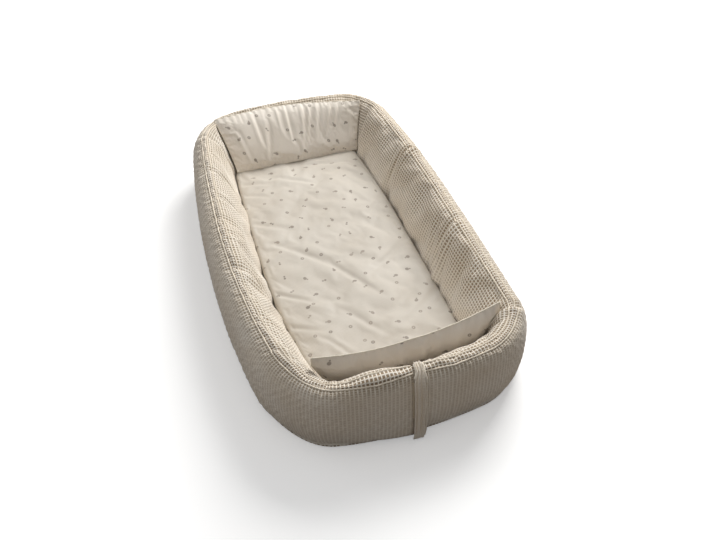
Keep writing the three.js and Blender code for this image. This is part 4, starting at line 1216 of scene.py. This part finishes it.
def makeBottom():
    def edgeAway(plan):
        rows, columns = plan.shape[:2]
        r = np.minimum(np.arange(rows), np.arange(rows)[::-1])[:, None] / rows * nest["length"]
        c = np.minimum(np.arange(columns), np.arange(columns)[::-1])[None, :] / columns * nest["width"]
        return np.minimum(r, c)

    def nearSeam(line):
        return np.exp(-((0.5 - line) * bottom["quiltEvery"] / bottom["quiltHalf"]) ** 2)

    box = insetBox(outerBox, bottom["inset"], bottom["footInset"])
    plan = coonsGrid(box, 120, 70)
    away = edgeAway(plan)
    x, y = plan[..., 0], plan[..., 1]
    wave = 0.00035 * softNoise(x + 1, y + 1, 0.05, 0.05, 51)
    under = 0.0016 * np.exp(-away / 0.006)
    cover = plateFrom("bottomCloth", plan, under, bottom["coverTop"] + under * 0.1, waffleLook)
    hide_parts("base_panel")
    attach(cover, "nest")

    further = bottom["waddingInset"]
    box = insetBox(outerBox, bottom["inset"] + further, bottom["footInset"] + further)
    inner = coonsGrid(box, 120, 70)
    lines = [np.abs(np.mod((inner[..., 0] * s + inner[..., 1]) / bottom["quiltEvery"], 1) - 0.5)
             for s in (1, -1)]
    seamNear = np.maximum(*[nearSeam(line) for line in lines])
    top = bottom["waddingTop"] - bottom["quiltDepth"] * seamNear
    wadding = plateFrom("bottomWadding", inner, np.full_like(top, bottom["waddingLow"]), top, fibreLook)
    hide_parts("base_wadding")
    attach(wadding, "nest")

    lines = [np.abs(np.mod((x * s + y) / bottom["quiltEvery"], 1) - 0.5) for s in (1, -1)]
    seamNear = np.maximum(*[nearSeam(line) for line in lines])
    low = bottom["liningLow"] - bottom["quiltDepth"] * seamNear
    lining = plateFrom("bottomLining", plan, low, low + 0.001 + 0.3 * (wave - wave.max()), plainLook)
    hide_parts("base_lining")
    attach(lining, "nest")


makeFillings()
makeEndCloths()
makeBottom()
print("fillings and bottom made")

flap = dict(first=0.0015, last=0.0195, drawn=0.0080, lift=0.0030, cloth=0.0018, columns=44, rows=130,
            bindingRadius=0.0021, loose=0.0040)

# grooves down the flap: where across, depth, half width as a share
flapGrooves = ((0.20, 0.0044, 0.09), (0.64, 0.0050, 0.08))


def flapStart(t):  # the flap's left edge, drawn in where it crosses the crest
    return flap["first"] + flap["drawn"] * smooth(3.9, 5.1, t)


def makeFlap():
    x = np.linspace(flap["first"], flap["last"], flap["columns"])
    t = np.linspace(0.0, innerSeam, flap["rows"])
    grid = wallProfile(footSectionsAt(x), t, flap["lift"] + flap["cloth"])
    for column in range(flap["rows"]):
        wanted = np.linspace(flapStart(t[column]), flap["last"], flap["columns"])
        full = grid[:, column].copy()
        grid[:, column] = np.stack([np.interp(wanted, x, full[:, axis]) for axis in range(3)], axis=-1)
    normal = gridNormals(grid)
    if normal[:, 40, 1].mean() > 0:
        normal = -normal
    normal[..., 2] *= smooth(0.0, 1.5, t)[None, :]  # the hem stays level, so folds move it sideways only
    share = (x - x[0]) / (x[-1] - x[0])
    low = 1 - smooth(0.0, 4.2, t)
    grooves = np.zeros_like(share)
    for middle, depth, half in flapGrooves:
        grooves += depth * np.exp(-((share - middle) / half) ** 2)
    runOut = smooth(0.1, 1.6, t)[None, :]
    drape = (flap["loose"] - grooves[:, None] * runOut) * (0.6 + 0.4 * low[None, :])
    drape += 0.0005 * softNoise(*np.meshgrid(x, t * 0.02, indexing="ij"), 0.009, 0.02, 61)
    flare = 0.0012 * smooth(0.35, 0.0, t)[None, :] * share[:, None] ** 2
    grid = grid + normal * (drape + flare)[..., None]
    across = np.repeat((x - x[0])[:, None], flap["rows"], axis=1)
    uv = np.stack([across, lengthsAlong(grid, axis=1)], axis=-1)
    turned = np.cross(grid[1, 40] - grid[0, 40], grid[0, 41] - grid[0, 40])[1] > 0
    piece = clothGrid("closureFlap", grid, uv, flap["cloth"], flatWaffleLook, turned)
    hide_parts("closure_flap")
    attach(piece, "flap")

    bound = flap["last"] + 0.0022
    spots = [(bound, s) for s in np.linspace(0.02, 5.7, 86)]
    spots += [(s, 5.9) for s in np.linspace(bound - 0.001, flapStart(5.9), 6)]
    spots += [(flapStart(s) - 0.0008, s) for s in np.linspace(5.7, 4.4, 16)]
    edge = np.array([wallProfile(footSectionsAt([place]), [s - 0.01, s], 0.0046)[0, 1] for place, s in spots])
    edge[:86, 0] += 0.0009 * softNoise(np.linspace(0, 0.25, 86), np.zeros(86), 0.03, 1, 62)
    binding = growOn("flapBinding", pipingTree, [edge], dict(
        Radius=flap["bindingRadius"], Step=0.003, Unevenness=0.0003, Look=bindingLook))
    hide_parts("flap_binding")
    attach(binding, "flap")

    column = int(flap["columns"] * 0.86)
    row = grid[column] + normal[column] * 0.0002
    stitches = growOn("flapStitching", stitchTree, [row], dict(
        Pitch=0.0038, Length=0.0024, Thread=0.00032, Look=threadLook))
    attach(stitches, "flap")


tapes = dict(
    hookEvery=0.0019, low=0.00035, hookTop=0.0011, loopLow=0.0016, loopTop=0.0023,
    start=0.008, end=0.019, width=0.011, rootStart=0.0002, rootEnd=0.0040, rootTop=0.0024,
    hookSize=0.00032, loopSize=0.00022, thread=0.00009,
)


def makeTapes():
    t = np.linspace(2, 4, 60)

    def band(name, node, x0, x1, low, high, body):
        x = np.linspace(x0, x1, 12)
        face = wallProfile(footSectionsAt(x), t, high)
        uv = np.stack(np.meshgrid(x, lengthsAlong(face[0]), indexing="ij"), axis=-1)
        turned = np.cross(face[1, 30] - face[0, 30], face[0, 31] - face[0, 30])[1] > 0
        piece = clothGrid(name, face, uv, high - low, tapeLook, turned)
        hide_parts(node)
        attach(piece, body)
        return face

    start, end = tapes["start"], tapes["end"]
    hookFace = band("hookTape", "hook_tape", start, end, tapes["low"], tapes["hookTop"], "nest")
    loopFace = band("loopTape", "loop_tape", start, end, tapes["loopLow"], tapes["loopTop"], "flap")
    band("flapRootTape", "flap_root_tape", tapes["rootStart"], tapes["rootEnd"], tapes["low"],
         tapes["rootTop"], "nest")
    for name, face, facing, body, size in (
            ("tapeHooks", hookFace, (0, -1, 0), "nest", tapes["hookSize"]),
            ("tapeLoops", loopFace - np.array([0, -0.0008, 0]), (0, 1, 0), "flap", tapes["loopSize"])):
        columns = int(tapes["width"] / tapes["hookEvery"])
        rows = int(float(lengthsAlong(face[0])[-1]) / tapes["hookEvery"])
        spots = refine(face, columns, rows)[:, 1:-1]
        hooks = growOn(name, hookTree, [[p] for p in spots.reshape(-1, 3)], dict(
            Size=size, Thread=tapes["thread"], Facing=facing, Look=tapeLook))
        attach(hooks, body)


makeFlap()
makeTapes()
print("closure made")

mattress = dict(
    clear=0.0012, top=0.0544, crown=0.005, shoulder=0.009, skirt=0.008, cloth=0.001,
    wrinkle=0.0018,
    foamInset=0.0022, foamDown=0.0052, foamEdge=0.010,
    underLow=0.0067, underTop=0.0077, hemAt=0.0079, hemRadius=0.0009,
)

# soft folds in the mattress cover: from x, y to x, y, depth, half width
mattressFolds = (
    (-0.150, 0.262, -0.070, 0.240, 0.0016, 0.012), (-0.148, 0.222, -0.085, 0.190, 0.0012, 0.012),
    (0.020, 0.285, 0.110, 0.268, 0.0012, 0.013), (-0.060, 0.258, 0.030, 0.200, 0.0012, 0.016),
    (-0.148, 0.120, -0.060, 0.060, 0.0012, 0.018), (-0.120, 0.040, -0.020, -0.060, 0.0012, 0.020),
    (-0.148, -0.100, -0.080, -0.150, 0.0018, 0.012), (-0.146, -0.190, -0.085, -0.225, 0.0018, 0.012),
    (0.152, 0.130, 0.090, 0.060, 0.0012, 0.016), (0.154, -0.020, 0.070, -0.090, 0.0012, 0.018),
    (0.155, -0.180, 0.070, -0.250, 0.0014, 0.016), (-0.020, -0.060, 0.060, -0.200, 0.0012, 0.022),
    (-0.040, -0.180, 0.040, -0.290, 0.0012, 0.018), (-0.090, -0.240, -0.030, -0.320, 0.0014, 0.014),
)


def mattressSurface():
    rows, columns = 126, 56
    box = insetBox(innerBox, mattress["clear"] + mattress["shoulder"])
    plan = coonsGrid(box, rows, columns)
    a = np.abs(np.linspace(-1, 1, columns))[None, :]
    b = np.abs(np.linspace(-1, 1, rows))[:, None]
    scale = np.maximum(a, b) * np.ones((rows, columns))
    x, y = plan[..., 0], plan[..., 1]
    rise = mattress["crown"] * (1 - scale**2.2)
    rise += mattress["wrinkle"] * (1 - scale**6) * softNoise(x + y + 2, y - x + 2, 0.075, 0.15, 71)
    rise += 0.5 * mattress["wrinkle"] * (1 - scale**6) * softNoise(x + y + 2, y - x + 2, 0.036, 0.08, 72)
    for x0, y0, x1, y1, depth, half in mattressFolds:
        dx, dy = x1 - x0, y1 - y0
        length = math.hypot(dx, dy)
        share = ((x - x0) * dx + (y - y0) * dy) / length**2
        off = ((x - x0) * dy - (y - y0) * dx) / length
        window = smooth(-0.15, 0.1, share) * (1 - smooth(0.45, 1.05, share))
        groove = (-depth * np.exp(-(off / (half * 0.5)) ** 2)
                  + 0.6 * depth * np.exp(-((np.abs(off) - half) / half) ** 2))
        rise += groove * window
    top = np.concatenate([plan, (mattress["top"] + rise)[..., None]], axis=-1)
    return top, scale


def makeMattress():
    top, scale = mattressSurface()
    rows, columns = top.shape[:2]
    border = ringOf(top)
    count = len(border)
    step = np.roll(border, -1, axis=0) - np.roll(border, 1, axis=0)
    outward = np.stack([step[:, 1], -step[:, 0]], axis=-1)
    outward /= np.maximum(np.linalg.norm(outward, axis=1, keepdims=True), 1e-9)
    if (outward * border[:, :2]).sum() < 0:
        outward = -outward
    run = lengthsAlong(border)
    shoulder = mattress["shoulder"]
    rings = []
    angles = [22, 45, 68, 90]
    for angle in angles:
        turn = math.radians(angle)
        ring = border.copy()
        ring[:, :2] += outward * shoulder * math.sin(turn)
        ring[:, 2] = mattress["top"] - shoulder * (1 - math.cos(turn))
        rings.append(ring)
    for share in (0.3, 0.65, 1.0):
        ring = rings[3].copy()
        height = mattress["top"] - shoulder
        ring[:, 2] = height + (mattress["skirt"] - height) * share
        rings.append(ring)
    pucker = 0.0006 * np.sin(math.tau * (run / 0.012 + 0.4 * softNoise(run, 0 * run, 0.05, 1, 73)))
    for k in range(2, 6):
        rings[k][:, :2] += outward * (pucker * (0.8 if k < 5 else 0.4) - 0.0004)[:, None]
    points = np.concatenate([top.reshape(-1, 3)] + rings)
    faces = gridFaces(rows, columns, turned=True)
    start = ringIndexes(rows, columns)
    for k in range(len(rings)):
        lower = rows * columns + k * count + np.arange(count)
        upper = start if k == 0 else lower - count
        for i in range(count):
            j = (i + 1) % count
            faces.append((int(upper[i]), int(lower[i]), int(lower[j]), int(upper[j])))
    pins = np.concatenate([np.where(scale.ravel() > 0.985, 0.8, 0.10)] + [np.full(count, 0.9)] * len(rings))
    cloth = dict(frames=16, hold=0.5, pressure=0.25, spare=0.02, stretch=20, bend=0.15, cap=0.0035)
    relaxed = relaxCloth("mattress cloth", points, faces, pins, cloth)
    # the cover takes the darker copy of the print, which paints shade on it
    work = meshPiece("mattressCover", relaxed, faces, None, shadedCoverPrintLook)
    subdivided = work.modifiers.new("smoothing", "SUBSURF")
    subdivided.levels = subdivided.render_levels = 1
    finishShape(work)
    mesh = work.data
    layer = mesh.uv_layers.new(name="cloth")
    coordinates = np.empty(len(mesh.vertices) * 3)
    mesh.vertices.foreach_get("co", coordinates)
    coordinates = coordinates.reshape(-1, 3)
    fall = np.clip(mattress["top"] - 0.003 - coordinates[:, 2], 0, None)
    radial = coordinates[:, :2] / np.maximum(np.linalg.norm(coordinates[:, :2], axis=1, keepdims=True), 1e-6)
    flat = coordinates[:, :2] + radial * fall[:, None]
    loops = np.empty(len(mesh.loops), dtype=np.int32)
    mesh.loops.foreach_get("vertex_index", loops)
    layer.data.foreach_set("uv", (flat + 0.37)[loops].ravel())
    piece = thicken(work, mattress["cloth"])
    closeUp(piece)
    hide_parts("mattress_cover")
    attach(piece, "mattress")

    box = insetBox(innerBox, mattress["clear"] + mattress["foamInset"])
    plan = coonsGrid(box, 80, 40)
    b = np.abs(np.linspace(-1, 1, 80))[:, None]
    a = np.abs(np.linspace(-1, 1, 40))[None, :]
    foamScale = np.maximum(a, b) * np.ones((80, 40))
    edgeDrop = mattress["foamEdge"] * smooth(0.93, 1.0, foamScale)
    high = (mattress["top"] - mattress["foamDown"] + 0.6 * mattress["crown"] * (1 - foamScale**2.2)
            - edgeDrop)
    core = plateFrom("mattressFoam", plan, np.full_like(high, mattress["skirt"]), high, fibreLook)
    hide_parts("mattress_core")
    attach(core, "mattress")

    plan = coonsGrid(insetBox(innerBox, mattress["clear"]), 90, 44)
    wave = 0.00012 * softNoise(plan[..., 0] + 1, plan[..., 1] + 1, 0.03, 0.03, 74)
    under = plateFrom("mattressUnderside", plan, mattress["underLow"] + 0 * wave,
                      mattress["underTop"] + wave, plainLook)
    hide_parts("mattress_underside")
    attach(under, "mattress")
    line = ringOf(np.concatenate([plan, np.full(plan.shape[:2] + (1,), mattress["hemAt"])], axis=-1))
    line = np.concatenate([line, line[:1]])
    piping = growOn("mattressHem", pipingTree, [line], dict(
        Radius=mattress["hemRadius"], Step=0.006, Unevenness=0.0002, Look=threadLook))
    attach(piping, "mattress")


makeMattress()
print("mattress made")

studio = dict(
    floor="f6f6f6", floorGlow=0.3, floorBounce="786b5e", worldColour="f4f4f4",
    glowFrom=0.7, glowFull=1.6,  # metres from the middle: the backdrop turns white between them
    horizon=0.20, overhead=0.49,  # strength of the room's light at its edge and at its top
    colour="fffefc",
    lamps=(  # name, place, watts, size in metres
        ("key", (1.30, 1.25, 1.90), 70, 1.4), ("fill", (-1.5, 0.5, 1.8), 5, 1.8),
    ),
)


def makeStudio():
    bpy.ops.mesh.primitive_plane_add(size=12, location=(0, 0, 0))
    floor = bpy.context.object
    floor.name = "floor"
    look = bpy.data.materials.new("painted studio floor")
    look.use_nodes = True
    tree = look.node_tree
    tree.nodes.clear()
    paint = addNode(tree, "ShaderNodeBsdfPrincipled", {
        "Base Color": linearColour(studio["floor"]), "Roughness": 0.9, "Specular IOR Level": 0.1})
    place = addNode(tree, "ShaderNodeTexCoord").outputs["Object"]
    away = addNode(tree, "ShaderNodeVectorMath", {0: place}, operation="LENGTH").outputs["Value"]
    brightness = addNode(tree, "ShaderNodeMapRange", {
        "Value": away, "From Min": studio["glowFrom"], "From Max": studio["glowFull"],
        "To Min": studio["floorGlow"], "To Max": 1})
    glow = addNode(tree, "ShaderNodeEmission", {
        "Color": (1, 1, 1, 1), "Strength": brightness.outputs[0]})
    rays = addNode(tree, "ShaderNodeLightPath")
    both = addNode(tree, "ShaderNodeAddShader", {0: paint.outputs[0], 1: glow.outputs[0]})
    bounce = addNode(tree, "ShaderNodeBsdfDiffuse", {"Color": linearColour(studio["floorBounce"])})
    seen = addNode(tree, "ShaderNodeMath", {
        0: rays.outputs["Is Camera Ray"], 1: rays.outputs["Is Glossy Ray"]}, operation="MAXIMUM")
    seen = addNode(tree, "ShaderNodeMath", {
        0: seen.outputs[0], 1: rays.outputs["Is Transmission Ray"]}, operation="MAXIMUM")
    mixed = addNode(tree, "ShaderNodeMixShader", {
        0: seen.outputs[0], 1: bounce.outputs[0], 2: both.outputs[0]})
    addNode(tree, "ShaderNodeOutputMaterial", {"Surface": mixed.outputs[0]})
    floor.data.materials.append(look)

    world = bpy.data.worlds.new("studio")
    bpy.context.scene.world = world
    world.use_nodes = True
    tree = world.node_tree
    tree.nodes.clear()
    rays = addNode(tree, "ShaderNodeLightPath")
    seen = addNode(tree, "ShaderNodeMath", {
        0: rays.outputs["Is Camera Ray"], 1: rays.outputs["Is Glossy Ray"]}, operation="MAXIMUM")
    seen = addNode(tree, "ShaderNodeMath", {
        0: seen.outputs[0], 1: rays.outputs["Is Transmission Ray"]}, operation="MAXIMUM")
    facing = addNode(tree, "ShaderNodeTexCoord").outputs["Generated"]
    rise = addNode(tree, "ShaderNodeSeparateXYZ", {0: facing}).outputs["Z"]
    amount = addNode(tree, "ShaderNodeMapRange", {
        "Value": rise, "To Min": studio["horizon"], "To Max": studio["overhead"]})
    air = addNode(tree, "ShaderNodeBackground", {
        "Color": linearColour(studio["worldColour"]), "Strength": amount.outputs[0]})
    white = addNode(tree, "ShaderNodeBackground", {"Color": (1, 1, 1, 1), "Strength": 1})
    mixed = addNode(tree, "ShaderNodeMixShader", {
        0: seen.outputs[0], 1: air.outputs[0], 2: white.outputs[0]})
    addNode(tree, "ShaderNodeOutputWorld", {"Surface": mixed.outputs[0]})

    for name, place, watts, size in studio["lamps"]:
        light = bpy.data.lights.new(name, "AREA")
        light.energy = watts
        light.shape = "SQUARE"
        light.size = size
        light.color = linearColour(studio["colour"])[:3]
        lamp = bpy.data.objects.new(name, light)
        lamp.location = place
        lamp.rotation_euler = (-Vector(place)).to_track_quat("-Z", "Y").to_euler()
        bpy.context.scene.collection.objects.link(lamp)
    bpy.context.scene.view_settings.view_transform = "Standard"


makeStudio()
print("studio made")
